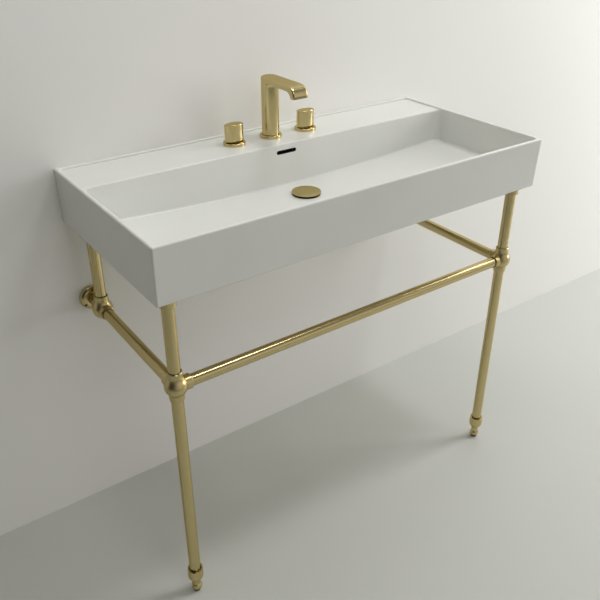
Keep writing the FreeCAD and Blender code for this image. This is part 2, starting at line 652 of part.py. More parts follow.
def deck_fixings():
    gaskets = []
    washers = []
    locknuts = []
    for side in (-1, 0, 1):
        place = tap_place(side)
        gasket_start = at_height(place, DECK_Z)
        gaskets.append(tube(gasket_start, UP, DECK_GASKET_RADIUS, AROUND_SHANK, DECK_GASKET_THICKNESS))
        washer_start = at_height(place, WASHER_LOW_Z)
        washers.append(tube(washer_start, UP, DECK_WASHER_RADIUS, AROUND_SHANK, DECK_WASHER_THICKNESS))
        nut_start = at_height(place, LOCKNUT_LOW_Z)
        nut = hexagon(nut_start, UP, DECK_LOCKNUT_FLATS, DECK_LOCKNUT_HEIGHT)
        locknuts.append(nut.cut(rod(nut_start, UP, AROUND_SHANK, DECK_LOCKNUT_HEIGHT)))
    return {
        "deck_gaskets": Part.makeCompound(gaskets),
        "deck_washers": Part.makeCompound(washers),
        "deck_locknuts": Part.makeCompound(locknuts),
    }


# Handles and their valves
OUTLET_Z = DECK_UNDER_Z - VALVE_OUTLET_BELOW_DECK
VALVE_SEAT_Z = OUTLET_Z - VALVE_SEAT_BELOW_OUTLET
VALVE_LOW_Z = VALVE_SEAT_Z - VALVE_BODY_BELOW_SEAT
TURNING_DISC_Z = VALVE_SEAT_Z + DISC_THICKNESS + SLIDING_FIT
SPINDLE_LOW_Z = TURNING_DISC_Z + DISC_THICKNESS
BONNET_LOW_Z = SPINDLE_LOW_Z + SPINDLE_FOOT_HEIGHT + MOVING_GAP
KNOB_LOW_Z = RING_TOP_Z + KNOB_GAP
KNOB_SOCKET_TOP_Z = KNOB_LOW_Z + KNOB_SOCKET_DEPTH
KNOB_SCREW_Z = KNOB_LOW_Z + KNOB_SCREW_RISE


def knob_outline():
    """Oval of four arcs: a wide round to the front and the back and a close one at both ends."""
    half_depth = KNOB_DEPTH / 2
    face_centre = KNOB_FACE_RADIUS - half_depth
    between_centres = KNOB_FACE_RADIUS - KNOB_END_RADIUS
    end_centre = math.sqrt(between_centres**2 - face_centre**2)
    meet_x = end_centre * KNOB_FACE_RADIUS / between_centres
    meet_y = face_centre * KNOB_END_RADIUS / between_centres
    tip = end_centre + KNOB_END_RADIUS
    return [
        ((-meet_x, -meet_y), (0, -half_depth), (meet_x, -meet_y)),
        ((meet_x, -meet_y), (tip, 0), (meet_x, meet_y)),
        ((meet_x, meet_y), (0, half_depth), (-meet_x, meet_y)),
        ((-meet_x, meet_y), (-tip, 0), (-meet_x, -meet_y)),
    ]


def make_knob(place):
    start = at_height(place, KNOB_LOW_Z)
    edges = outline_edges(knob_outline(), lambda x, y: start + Vector(x, y, 0))
    knob = Part.Face(Part.Wire(edges)).extrude(UP * KNOB_HEIGHT)
    ends = (KNOB_LOW_Z, KNOB_LOW_Z + KNOB_HEIGHT)
    knob = rounded(knob, KNOB_ROUND, lambda edge: any(spans(edge, "Z", z) for z in ends))
    socket = rod(at_height(place, KNOB_LOW_Z), UP, SPINDLE_RADIUS + SLIDING_FIT, KNOB_SOCKET_DEPTH)
    screw_hole = rod(at_height(place, KNOB_SCREW_Z), ALONG_Y, KNOB_SCREW_RADIUS + SLIDING_FIT, KNOB_DEPTH)
    return knob.cut([socket, screw_hole])


def make_knob_screw(place):
    start = at_height(place, KNOB_SCREW_Z) + ALONG_Y * (SPINDLE_RADIUS + SLIDING_FIT)
    length = KNOB_DEPTH / 2 - KNOB_SCREW_RECESS - SPINDLE_RADIUS
    screw = rod(start, ALONG_Y, KNOB_SCREW_RADIUS, length)
    key_start = start + ALONG_Y * (length - KNOB_SCREW_RADIUS)
    return screw.cut(hexagon(key_start, ALONG_Y, KNOB_SCREW_RADIUS, length))


def make_spindle(place):
    stem_length = KNOB_SOCKET_TOP_Z - SPINDLE_LOW_Z
    stem = rod(at_height(place, SPINDLE_LOW_Z), UP, SPINDLE_RADIUS, stem_length)
    foot = rod(at_height(place, SPINDLE_LOW_Z), UP, SPINDLE_FOOT_RADIUS, SPINDLE_FOOT_HEIGHT)
    return stem.fuse(foot).removeSplitter()


def make_disc(place, low_z, radius):
    disc = rod(at_height(place, low_z), UP, radius, DISC_THICKNESS)
    for side in SIDES.values():
        port = at_height(place, low_z) + ALONG_X * (side * DISC_PORT_OFFSET)
        disc = disc.cut(rod(port, UP, DISC_PORT_RADIUS, DISC_THICKNESS))
    return disc


def make_valve_body(place, side):
    """Threaded shank through the deck, inlet below, outlet to the side of the spout."""
    towards_spout = ALONG_X * -side
    shank = rod(at_height(place, VALVE_LOW_Z), UP, SHANK_RADIUS, SHANK_TOP_Z - VALVE_LOW_Z)
    inlet = rod(at_height(place, VALVE_LOW_Z - INLET_LENGTH), UP, INLET_RADIUS, INLET_LENGTH)
    outlet = rod(at_height(place, OUTLET_Z), towards_spout, OUTLET_RADIUS, OUTLET_REACH)
    body = shank.fuse([inlet, outlet])
    chamber = rod(at_height(place, VALVE_SEAT_Z), UP, VALVE_BORE_RADIUS, SHANK_TOP_Z - VALVE_SEAT_Z)
    port_low = VALVE_LOW_Z - INLET_LENGTH
    port = rod(at_height(place, port_low), UP, VALVE_PORT_RADIUS, VALVE_SEAT_Z - port_low)
    outlet_bore = rod(at_height(place, OUTLET_Z), towards_spout, OUTLET_BORE_RADIUS, OUTLET_REACH)
    return body.cut([chamber, port, outlet_bore]).removeSplitter()


def make_bonnet(place):
    outer = VALVE_BORE_RADIUS - SLIDING_FIT
    inner = SPINDLE_RADIUS + SLIDING_FIT
    return tube(at_height(place, BONNET_LOW_Z), UP, outer, inner, SHANK_TOP_Z - BONNET_LOW_Z)


def handle_parts():
    parts = {}
    rings = []
    bonnets = []
    fixed_discs = []
    for name, side in SIDES.items():
        place = tap_place(side)
        rings.append(make_base_ring(place, SHANK_RADIUS - SHANK_BELOW_RING_TOP))
        bonnets.append(make_bonnet(place))
        fixed_discs.append(make_disc(place, VALVE_SEAT_Z, VALVE_BORE_RADIUS - SLIDING_FIT))
        parts[f"{name}_handle_knob"] = make_knob(place)
        parts[f"{name}_handle_screw"] = make_knob_screw(place)
        parts[f"{name}_spindle"] = make_spindle(place)
        parts[f"{name}_turning_disc"] = make_disc(place, TURNING_DISC_Z, TURNING_DISC_RADIUS)
        parts[f"{name}_valve_body"] = make_valve_body(place, side)
    parts["handle_base_rings"] = Part.makeCompound(rings)
    parts["valve_bonnets"] = Part.makeCompound(bonnets)
    parts["fixed_discs"] = Part.makeCompound(fixed_discs)
    return parts


# Spout, its shank and tee, and the cross tubes
SPOUT_PLACE = Vector(0, TAP_Y, 0)
SPOUT_TOP_Z = DECK_Z + SPOUT_TOP_ABOVE_DECK
SPOUT_OUTLET_Z = SPOUT_TOP_Z - SPOUT_OUTLET_DROP
SPOUT_TIP_Y = TAP_Y - SPOUT_REACH
NOZZLE_Y = SPOUT_TIP_Y + SPOUT_NOZZLE_DEPTH / 2
SHANK_LOW_Z = OUTLET_Z + TEE_HEIGHT / 2
ROUND_MIDDLE_SHARE = 1 - math.sqrt(0.5)


def corner_arc(corner, start, end, radius):
    """Arc of a quarter turn that rounds a square corner between two points of its runs."""
    towards = (start[0] + end[0] - 2 * corner[0], start[1] + end[1] - 2 * corner[1])
    share = ROUND_MIDDLE_SHARE * radius / max(abs(towards[0]), abs(towards[1]))
    return (start, (corner[0] + share * towards[0], corner[1] + share * towards[1]), end)


def arm_outline():
    """Side view of the level arm and the nozzle that bends down from it."""
    back = TAP_Y + SPOUT_RADIUS
    arm_low = SPOUT_TOP_Z - SPOUT_ARM_THICKNESS
    inner_low = (SPOUT_TIP_Y + SPOUT_NOZZLE_DEPTH, SPOUT_OUTLET_Z)
    inner_high = (SPOUT_TIP_Y + SPOUT_NOZZLE_ROOT_DEPTH, arm_low)
    bend_start = (SPOUT_TIP_Y + SPOUT_BEND_ROUND, SPOUT_TOP_Z)
    bend_end = (SPOUT_TIP_Y, SPOUT_TOP_Z - SPOUT_BEND_ROUND)
    return [
        ((back, SPOUT_TOP_Z), bend_start),
        corner_arc((SPOUT_TIP_Y, SPOUT_TOP_Z), bend_start, bend_end, SPOUT_BEND_ROUND),
        (bend_end, (SPOUT_TIP_Y, SPOUT_OUTLET_Z)),
        ((SPOUT_TIP_Y, SPOUT_OUTLET_Z), inner_low),
        (inner_low, bulged(inner_low, inner_high, -SPOUT_NOZZLE_HOLLOW), inner_high),
        (inner_high, (back, arm_low)),
        ((back, arm_low), (back, SPOUT_TOP_Z)),
    ]


def plan_mask():
    """Plan of the spout: round at the back and square at the tip."""
    low = RING_TOP_Z
    height = SPOUT_TOP_Z - low
    half = SPOUT_RADIUS
    strip = box(-half, half, SPOUT_TIP_Y, TAP_Y, low, low + height)
    return strip.fuse(rod(at_height(SPOUT_PLACE, low), UP, half, height)).removeSplitter()


def make_column():
    """Round column that spreads into the underside of the arm in a hollow round."""
    inside_arm = SPOUT_TOP_Z - SPOUT_ARM_THICKNESS / 2
    column = rod(at_height(SPOUT_PLACE, RING_TOP_Z), UP, SPOUT_RADIUS, inside_arm - RING_TOP_Z)
    corner = (SPOUT_RADIUS, SPOUT_TOP_Z - SPOUT_ARM_THICKNESS)
    start = (corner[0], corner[1] - SPOUT_ARM_ROUND)
    end = (corner[0] + SPOUT_ARM_ROUND, corner[1])
    flare = turned(
        [
            ((0, start[1]), start),
            corner_arc(corner, start, end, SPOUT_ARM_ROUND),
            (end, (end[0], inside_arm)),
            ((end[0], inside_arm), (0, inside_arm)),
            ((0, inside_arm), (0, start[1])),
        ],
        SPOUT_PLACE,
    )
    return column.fuse(flare.common(plan_mask()))


def is_arm_ridge(edge):
    """Upper edges of the arm, round the back, along both sides and down to the outlet."""
    at_top = spans(edge, "Z", SPOUT_TOP_Z)
    at_side = spans(edge, "X", SPOUT_RADIUS) or spans(edge, "X", -SPOUT_RADIUS)
    at_back = edge.CenterOfMass.y > TAP_Y
    at_tip = edge.CenterOfMass.y < SPOUT_TIP_Y + SPOUT_BEND_ROUND / 2
    at_outlet = spans(edge, "Z", SPOUT_OUTLET_Z)
    return (at_top and (at_side or at_back)) or (at_side and at_tip and not at_outlet)


def make_arm():
    """Arm and nozzle with one soft round along their upper edges."""
    arm = side_prism(arm_outline(), SPOUT_RADIUS).common(plan_mask())
    return rounded(arm, SPOUT_EDGE_ROUND, is_arm_ridge)


def waterway():
    """Flat duct that runs along the arm and follows its bend down to the outlet."""
    wall = (SPOUT_NOZZLE_DEPTH - SPOUT_DUCT_HEIGHT) / 2
    front = SPOUT_TIP_Y + wall
    back = front + SPOUT_DUCT_HEIGHT
    high = SPOUT_TOP_Z - wall
    low = high - SPOUT_DUCT_HEIGHT
    bend_y = SPOUT_TIP_Y + SPOUT_BEND_ROUND
    bend_z = SPOUT_TOP_Z - SPOUT_BEND_ROUND
    outer_round = SPOUT_BEND_ROUND - wall
    inner_round = outer_round - SPOUT_DUCT_HEIGHT
    outline = [
        ((TAP_Y, high), (bend_y, high)),
        corner_arc((front, high), (bend_y, high), (front, bend_z), outer_round),
        ((front, bend_z), (front, SPOUT_OUTLET_Z)),
        ((front, SPOUT_OUTLET_Z), (back, SPOUT_OUTLET_Z)),
        ((back, SPOUT_OUTLET_Z), (back, bend_z)),
        corner_arc((back, low), (back, bend_z), (bend_y, low), inner_round),
        ((bend_y, low), (TAP_Y, low)),
        ((TAP_Y, low), (TAP_Y, high)),
    ]
    riser = rod(at_height(SPOUT_PLACE, RING_TOP_Z), UP, SPOUT_BORE_RADIUS, high - RING_TOP_Z)
    return side_prism(outline, SPOUT_DUCT_WIDTH / 2).fuse(riser)


def make_spout():
    spout = make_column().fuse(make_arm()).removeSplitter()
    spigot_top = SHANK_TOP_Z + SPOUT_SPIGOT_LENGTH
    spigot_radius = SPOUT_SPIGOT_RADIUS + SLIDING_FIT
    socket = rod(at_height(SPOUT_PLACE, RING_TOP_Z), UP, spigot_radius, spigot_top - RING_TOP_Z)
    seat_start = Vector(0, NOZZLE_Y, SPOUT_OUTLET_Z)
    aerator_room = slot_prism(seat_start, UP, AERATOR_WIDTH, AERATOR_DEPTH, AERATOR_HEIGHT)
    return spout.cut([socket, waterway(), aerator_room])


def aerator_parts():
    start = Vector(0, NOZZLE_Y, SPOUT_OUTLET_Z)
    width = AERATOR_WIDTH - 2 * SLIDING_FIT
    depth = AERATOR_DEPTH - 2 * SLIDING_FIT
    housing = slot_prism(start, UP, width, depth, AERATOR_HEIGHT)
    inner_width = width - 2 * AERATOR_WALL
    inner_depth = depth - 2 * AERATOR_WALL
    housing = housing.cut(slot_prism(start, UP, inner_width, inner_depth, AERATOR_HEIGHT))
    insert_width = inner_width - 2 * SLIDING_FIT
    insert_depth = inner_depth - 2 * SLIDING_FIT
    insert_start = start + UP * AERATOR_WALL
    insert = slot_prism(insert_start, UP, insert_width, insert_depth, AERATOR_HEIGHT - AERATOR_WALL)
    pitch = (insert_width - insert_depth) / (AERATOR_SLOTS - 1)
    half_slot = AERATOR_SLOT_WIDTH / 2
    half_depth = AERATOR_SLOT_DEPTH / 2
    for slot in range(AERATOR_SLOTS):
        x = (slot - (AERATOR_SLOTS - 1) / 2) * pitch
        y = NOZZLE_Y
        top = SPOUT_OUTLET_Z + AERATOR_HEIGHT
        insert = insert.cut(
            box(x - half_slot, x + half_slot, y - half_depth, y + half_depth, SPOUT_OUTLET_Z, top)
        )
    return {"aerator_housing": housing, "aerator_insert": insert}


def make_shank():
    shank = rod(at_height(SPOUT_PLACE, SHANK_LOW_Z), UP, SHANK_RADIUS, SHANK_TOP_Z - SHANK_LOW_Z)
    spigot = rod(at_height(SPOUT_PLACE, SHANK_TOP_Z), UP, SPOUT_SPIGOT_RADIUS, SPOUT_SPIGOT_LENGTH)
    whole_length = SHANK_TOP_Z + SPOUT_SPIGOT_LENGTH - SHANK_LOW_Z
    bore = rod(at_height(SPOUT_PLACE, SHANK_LOW_Z), UP, SPOUT_BORE_RADIUS, whole_length)
    tee_socket = rod(
        at_height(SPOUT_PLACE, SHANK_LOW_Z), UP, TEE_SPIGOT_RADIUS + SLIDING_FIT, TEE_SPIGOT_LENGTH
    )
    return shank.fuse(spigot).cut([bore, tee_socket]).removeSplitter()


def make_tee():
    tee_low = SHANK_LOW_Z - TEE_HEIGHT
    body = rod(at_height(SPOUT_PLACE, tee_low), UP, SHANK_RADIUS, TEE_HEIGHT)
    spigot = rod(at_height(SPOUT_PLACE, SHANK_LOW_Z), UP, TEE_SPIGOT_RADIUS, TEE_SPIGOT_LENGTH)
    arm_start = Vector(-TEE_REACH, TAP_Y, OUTLET_Z)
    arms = rod(arm_start, ALONG_X, OUTLET_RADIUS, 2 * TEE_REACH)
    arm_bore = rod(arm_start, ALONG_X, OUTLET_BORE_RADIUS, 2 * TEE_REACH)
    rise = SHANK_LOW_Z + TEE_SPIGOT_LENGTH - OUTLET_Z
    riser = rod(at_height(SPOUT_PLACE, OUTLET_Z), UP, SPOUT_BORE_RADIUS, rise)
    return body.fuse([spigot, arms]).cut([arm_bore, riser]).removeSplitter()


def make_cross_nut(end, towards_tube):
    """Nut over a threaded outlet, gripping it on one side and the tube on the other."""
    start = end - towards_tube * CROSS_NUT_GRIP
    nut = hexagon(start, towards_tube, CROSS_NUT_FLATS, CROSS_NUT_LENGTH)
    thread = rod(start, towards_tube, OUTLET_RADIUS + SLIDING_FIT, CROSS_NUT_GRIP)
    bore = rod(start, towards_tube, CROSS_TUBE_RADIUS + SLIDING_FIT, CROSS_NUT_LENGTH)
    return nut.cut([thread, bore])


def cross_tube_parts():
    parts = {}
    nuts = []
    for name, side in SIDES.items():
        towards_spout = ALONG_X * -side
        valve_end = at_height(tap_place(side), OUTLET_Z) + towards_spout * OUTLET_REACH
        tee_end = at_height(SPOUT_PLACE, OUTLET_Z) - towards_spout * TEE_REACH
        length = (tee_end - valve_end).Length
        inner = CROSS_TUBE_RADIUS - CROSS_TUBE_WALL
        parts[f"{name}_cross_tube"] = tube(valve_end, towards_spout, CROSS_TUBE_RADIUS, inner, length)
        nuts.append(make_cross_nut(valve_end, towards_spout))
        nuts.append(make_cross_nut(tee_end, -towards_spout))
    parts["cross_tube_nuts"] = Part.makeCompound(nuts)
    return parts


def spout_parts():
    parts = {
        "spout_body": make_spout(),
        "spout_base_ring": make_base_ring(SPOUT_PLACE, SPOUT_SPIGOT_RADIUS + SLIDING_FIT),
        "spout_shank": make_shank(),
        "spout_tee": make_tee(),
    }
    parts.update(aerator_parts())
    parts.update(cross_tube_parts())
    return parts


# Console stand
TOP_SOCKET_LOW_Z = BASIN_BOTTOM_Z - TOP_PAD_THICKNESS - TOP_SOCKET_HEIGHT
POST_TOP_Z = BASIN_BOTTOM_Z - TOP_PAD_THICKNESS - TOP_SOCKET_PLATE
CUP_SOCKET_Z = FLOOR_Z + FOOT_CUP_BOTTOM + FOOT_CUP_BASE


def front_sockets(side):
    return [
        (UP, UPPER_SOCKET_REACH, LEG_TUBE_RADIUS),
        (-UP, LOWER_SOCKET_REACH, LEG_TUBE_RADIUS),
        (ALONG_X * -side, RAIL_SOCKET_REACH, RAIL_TUBE_RADIUS),
        (ALONG_Y, RAIL_SOCKET_REACH, RAIL_TUBE_RADIUS),
    ]


def rear_sockets():
    return [
        (UP, UPPER_SOCKET_REACH, LEG_TUBE_RADIUS),
        (-ALONG_Y, RAIL_SOCKET_REACH, RAIL_TUBE_RADIUS),
        (ALONG_Y, WALL_SOCKET_REACH, RAIL_TUBE_RADIUS),
    ]


def screw_way(direction):
    """Grub screws of upright sockets point to the wall, those of level sockets point down."""
    return ALONG_Y if abs(direction.z) > 0 else -UP


def on_circle(centre, radius, angle):
    return (centre[0] + radius * math.cos(angle), centre[1] + radius * math.sin(angle))


def make_ball(centre):
    """Ball that runs in a hollow flare into the upper socket, turned as one piece."""
    from_axis = SOCKET_RADIUS + SOCKET_FLARE_ROUND
    from_ball = BALL_RADIUS + SOCKET_FLARE_ROUND
    flare_centre = (from_axis, math.sqrt(from_ball**2 - from_axis**2))
    flare_angle = math.acos(from_axis / from_ball)
    low = -math.pi / 2
    pole = (0, -BALL_RADIUS)
    flare_start = on_circle((0, 0), BALL_RADIUS, flare_angle)
    ball_side = on_circle((0, 0), BALL_RADIUS, (low + flare_angle) / 2)
    flare_middle = on_circle(flare_centre, SOCKET_FLARE_ROUND, math.pi + flare_angle / 2)
    flare_end = (SOCKET_RADIUS, flare_centre[1])
    bevel = (SOCKET_RADIUS, UPPER_SOCKET_REACH - SOCKET_CHAMFER)
    mouth = (SOCKET_RADIUS - SOCKET_CHAMFER, UPPER_SOCKET_REACH)
    stretches = [
        (pole, ball_side, flare_start),
        (flare_start, flare_middle, flare_end),
        (flare_end, bevel),
        (bevel, mouth),
        (mouth, (0, UPPER_SOCKET_REACH)),
        ((0, UPPER_SOCKET_REACH), pole),
    ]
    return turned(stretches, centre)


def make_socket(centre, direction, reach):
    """Round socket; the one that points down tapers to its mouth, the level ones have a small bevel."""
    taper = LOWER_SOCKET_TAPER if direction.z < 0 else SOCKET_CHAMFER
    outline = [
        (0, 0),
        (SOCKET_RADIUS, 0),
        (SOCKET_RADIUS, reach - taper),
        (SOCKET_RADIUS - SOCKET_CHAMFER, reach),
        (0, reach),
    ]
    return turned(lines_through(outline), centre, direction)


def make_fitting(centre, sockets):
    others = [make_socket(centre, direction, reach) for direction, reach, _ in sockets if not direction.z > 0]
    fitting = make_ball(centre).fuse(others)
    cuts = []
    for direction, reach, tube_radius in sockets:
        start = centre + direction * TUBE_STOP
        cuts.append(rod(start, direction, tube_radius + SLIDING_FIT, reach))
        screw_start = centre + direction * (reach - SET_SCREW_FROM_END)
        hole_radius = SET_SCREW_RADIUS + SLIDING_FIT
        cuts.append(rod(screw_start, screw_way(direction), hole_radius, 2 * SOCKET_RADIUS))
    return fitting.cut(cuts).removeSplitter()


def make_set_screws(centre, sockets):
    screws = []
    for direction, reach, tube_radius in sockets:
        way = screw_way(direction)
        inner = tube_radius + SLIDING_FIT
        length = SOCKET_RADIUS - SET_SCREW_RECESS - inner
        start = centre + direction * (reach - SET_SCREW_FROM_END) + way * inner
        screw = rod(start, way, SET_SCREW_RADIUS, length)
        key_start = start + way * (length - SET_SCREW_KEY_DEPTH)
        screws.append(screw.cut(hexagon(key_start, way, SET_SCREW_KEY_FLATS, length)))
    return screws


def tube_between(start, end, radius):
    run = end - start
    return tube(start, run.normalize(), radius, radius - TUBE_WALL, (end - start).Length)


def make_wall_flange(side):
    """Domed rose on the wall, bored for the stub and drilled for its screws."""
    bore = RAIL_TUBE_RADIUS + SLIDING_FIT
    edge = (WALL_FLANGE_RADIUS, WALL_FLANGE_EDGE)
    crown = (WALL_FLANGE_CROWN_RADIUS, WALL_FLANGE_HEIGHT)
    stretches = [
        ((bore, 0), (WALL_FLANGE_RADIUS, 0)),
        ((WALL_FLANGE_RADIUS, 0), edge),
        (edge, bulged(edge, crown, WALL_FLANGE_BULGE), crown),
        (crown, (bore, WALL_FLANGE_HEIGHT)),
        ((bore, WALL_FLANGE_HEIGHT), (bore, 0)),
    ]
    centre = Vector(side * STAND_X, 0, RAIL_Z)
    flange = turned(stretches, centre, -ALONG_Y)
    for screw in range(WALL_SCREW_COUNT):
        turn = FreeCAD.Rotation(ALONG_Y, 360 * screw / WALL_SCREW_COUNT)
        hole = centre + turn.multVec(UP * WALL_SCREW_CIRCLE_RADIUS)
        flange = flange.cut(rod(hole, -ALONG_Y, WALL_SCREW_HOLE_RADIUS, WALL_FLANGE_HEIGHT))
    return flange


def make_top_socket(place):
    """Collar round the top of a post, with a thin flange under the basin."""
    start = at_height(place, TOP_SOCKET_LOW_Z)
    collar = rod(start, UP, TOP_SOCKET_RADIUS, TOP_SOCKET_HEIGHT)
    collar = rounded(collar, TOP_SOCKET_ROUND, lambda edge: spans(edge, "Z", TOP_SOCKET_LOW_Z))
    flange_start = start + UP * (TOP_SOCKET_HEIGHT - TOP_FLANGE_THICKNESS)
    flange = rod(flange_start, UP, TOP_FLANGE_RADIUS, TOP_FLANGE_THICKNESS)
    socket = collar.fuse(flange).removeSplitter()
    return socket.cut(rod(start, UP, LEG_TUBE_RADIUS + SLIDING_FIT, POST_TOP_Z - TOP_SOCKET_LOW_Z))


def make_foot_cup(place):
    stud = FOOT_STUD_RADIUS + SLIDING_FIT
    leg = LEG_TUBE_RADIUS + SLIDING_FIT
    neck = (FOOT_CUP_NECK_RADIUS, FOOT_CUP_BOTTOM)
    shoulder = (FOOT_CUP_RADIUS, FOOT_CUP_SHOULDER)
    mouth_z = FOOT_CUP_TOP - FOOT_CUP_MOUTH_DEPTH
    socket_z = FOOT_CUP_BOTTOM + FOOT_CUP_BASE
    stretches = [
        ((stud, FOOT_CUP_BOTTOM), neck),
        (neck, bulged(neck, shoulder, FOOT_CUP_BULGE), shoulder),
        (shoulder, (FOOT_CUP_RADIUS, FOOT_CUP_TOP)),
        ((FOOT_CUP_RADIUS, FOOT_CUP_TOP), (FOOT_CUP_MOUTH_RADIUS, FOOT_CUP_TOP)),
        ((FOOT_CUP_MOUTH_RADIUS, FOOT_CUP_TOP), (FOOT_CUP_MOUTH_RADIUS, mouth_z)),
        ((FOOT_CUP_MOUTH_RADIUS, mouth_z), (leg, mouth_z)),
        ((leg, mouth_z), (leg, socket_z)),
        ((leg, socket_z), (stud, socket_z)),
        ((stud, socket_z), (stud, FOOT_CUP_BOTTOM)),
    ]
    return turned(stretches, at_height(place, FLOOR_Z))


def make_levelling_foot(place):
    """Ball with a flat for the pad, a neck, and the stud that screws into the cup."""
    low = FOOT_PAD_THICKNESS
    flat_radius = math.sqrt(FOOT_BALL_RADIUS**2 - (FOOT_BALL_HEIGHT - low) ** 2)
    neck_low = FOOT_BALL_HEIGHT + math.sqrt(FOOT_BALL_RADIUS**2 - FOOT_NECK_RADIUS**2)
    neck_top = FOOT_CUP_BOTTOM - MOVING_GAP
    stud_top = neck_top + FOOT_STUD_LENGTH
    flat = (flat_radius, low)
    waist = (FOOT_NECK_RADIUS, neck_low)
    stretches = [
        ((0, low), flat),
        (flat, (FOOT_BALL_RADIUS, FOOT_BALL_HEIGHT), waist),
        (waist, (FOOT_NECK_RADIUS, neck_top)),
        ((FOOT_NECK_RADIUS, neck_top), (FOOT_STUD_RADIUS, neck_top)),
        ((FOOT_STUD_RADIUS, neck_top), (FOOT_STUD_RADIUS, stud_top)),
        ((FOOT_STUD_RADIUS, stud_top), (0, stud_top)),
        ((0, stud_top), (0, low)),
    ]
    return turned(stretches, at_height(place, FLOOR_Z))


def stand_parts():
    parts = {}
    set_screws = []
    stubs = []
    top_sockets = []
    top_pads = []
    cups = []
    for name, side in SIDES.items():
        front = Vector(side * STAND_X, FRONT_Y, RAIL_Z)
        rear = Vector(side * STAND_X, REAR_Y, RAIL_Z)
        parts[f"front_{name}_fitting"] = make_fitting(front, front_sockets(side))
        nub_start = rear - UP * (BALL_RADIUS + NUB_HEIGHT)
        nub = rod(nub_start, UP, NUB_RADIUS, BALL_RADIUS - TUBE_STOP + NUB_HEIGHT)
        parts[f"rear_{name}_fitting"] = make_fitting(rear, rear_sockets()).fuse(nub).removeSplitter()
        set_screws += make_set_screws(front, front_sockets(side))
        set_screws += make_set_screws(rear, rear_sockets())
        stop = UP * TUBE_STOP
        leg_low = at_height(front, CUP_SOCKET_Z)
        parts[f"front_{name}_leg"] = tube_between(leg_low, front - stop, LEG_TUBE_RADIUS)
        for row, centre in (("front", front), ("rear", rear)):
            post_top = at_height(centre, POST_TOP_Z)
            parts[f"{row}_{name}_post"] = tube_between(centre + stop, post_top, LEG_TUBE_RADIUS)
            top_sockets.append(make_top_socket(centre))
            pad_start = at_height(centre, BASIN_BOTTOM_Z - TOP_PAD_THICKNESS)
            top_pads.append(rod(pad_start, UP, TOP_FLANGE_RADIUS, TOP_PAD_THICKNESS))
        back_step = ALONG_Y * TUBE_STOP
        parts[f"{name}_side_rail"] = tube_between(front + back_step, rear - back_step, RAIL_TUBE_RADIUS)
        stub_end = Vector(side * STAND_X, -WALL_STUB_BACK_GAP, RAIL_Z)
        stubs.append(tube_between(rear + back_step, stub_end, RAIL_TUBE_RADIUS))
        parts[f"{name}_wall_flange"] = make_wall_flange(side)
        cups.append(make_foot_cup(front))
        parts[f"{name}_levelling_foot"] = make_levelling_foot(front)
        pad_place = at_height(front, FLOOR_Z)
        parts[f"{name}_foot_pad"] = rod(pad_place, UP, FOOT_PAD_RADIUS, FOOT_PAD_THICKNESS)
    rail_end = STAND_X - TUBE_STOP
    rail_start = Vector(-rail_end, FRONT_Y, RAIL_Z)
    parts["front_rail"] = tube_between(rail_start, Vector(rail_end, FRONT_Y, RAIL_Z), RAIL_TUBE_RADIUS)
    parts["fitting_set_screws"] = Part.makeCompound(set_screws)
    parts["wall_stubs"] = Part.makeCompound(stubs)
    parts["top_sockets"] = Part.makeCompound(top_sockets)
    parts["top_pads"] = Part.makeCompound(top_pads)
    parts["foot_cups"] = Part.makeCompound(cups)
    return parts


def make_parts():
    parts = {"basin": make_basin()}
    parts.update(drain_parts())
    parts.update(deck_fixings())
    parts.update(handle_parts())
    parts.update(spout_parts())
    parts.update(stand_parts())
    return parts


os.makedirs("parts", exist_ok=True)
for node, shape in make_parts().items():
    shape.exportStep(f"parts/{node}.step")
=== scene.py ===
import math

import bmesh
import bpy
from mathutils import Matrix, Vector


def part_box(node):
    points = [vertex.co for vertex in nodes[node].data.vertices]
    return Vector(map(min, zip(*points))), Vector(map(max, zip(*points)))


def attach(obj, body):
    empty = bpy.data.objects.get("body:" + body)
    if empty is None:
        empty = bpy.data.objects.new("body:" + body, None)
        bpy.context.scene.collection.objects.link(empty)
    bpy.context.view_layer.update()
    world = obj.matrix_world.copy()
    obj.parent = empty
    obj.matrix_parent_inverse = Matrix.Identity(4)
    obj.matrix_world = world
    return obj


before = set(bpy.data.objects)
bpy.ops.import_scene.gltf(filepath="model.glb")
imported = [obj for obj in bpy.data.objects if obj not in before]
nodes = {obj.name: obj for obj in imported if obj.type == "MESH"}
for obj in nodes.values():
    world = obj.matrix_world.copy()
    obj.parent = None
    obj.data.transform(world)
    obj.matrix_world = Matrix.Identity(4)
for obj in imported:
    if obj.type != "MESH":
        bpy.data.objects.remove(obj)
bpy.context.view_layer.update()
scene = bpy.context.scene
scene.view_settings.view_transform = "Standard"

MM = 0.001
FLOOR_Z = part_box("left_foot_pad")[0].z
basin_low, basin_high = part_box("basin")
WALL_Y = basin_high.y

# Where the basin has no glaze: a thin skin at the back and below and the service pocket, in mm,
# and the roughness there
BARE_SKIN = 0.6
POCKET_MIDDLE_Y = -65.0
POCKET_HALF_DEPTH = 47.6
POCKET_HALF_WIDTH = 431.0
POCKET_TOP_Z = 41.5
BISCUIT_ROUGHNESS = 0.85

# Grain of the surfaces, in mm
GLAZE_POOL = 140.0
GLAZE_RIPPLE = 16.0
BISCUIT_GRIT = 2.5
BRUSH_LINE_WIDTH = 1.4
BRUSH_LINE_LENGTH = 90.0
BRASS_DRIFT = 60.0
CAST_GRAIN = 2.2
TARNISH_CLOUD = 18.0
LATHE_CUT = 1.2
ZINC_SPANGLE = 3.0

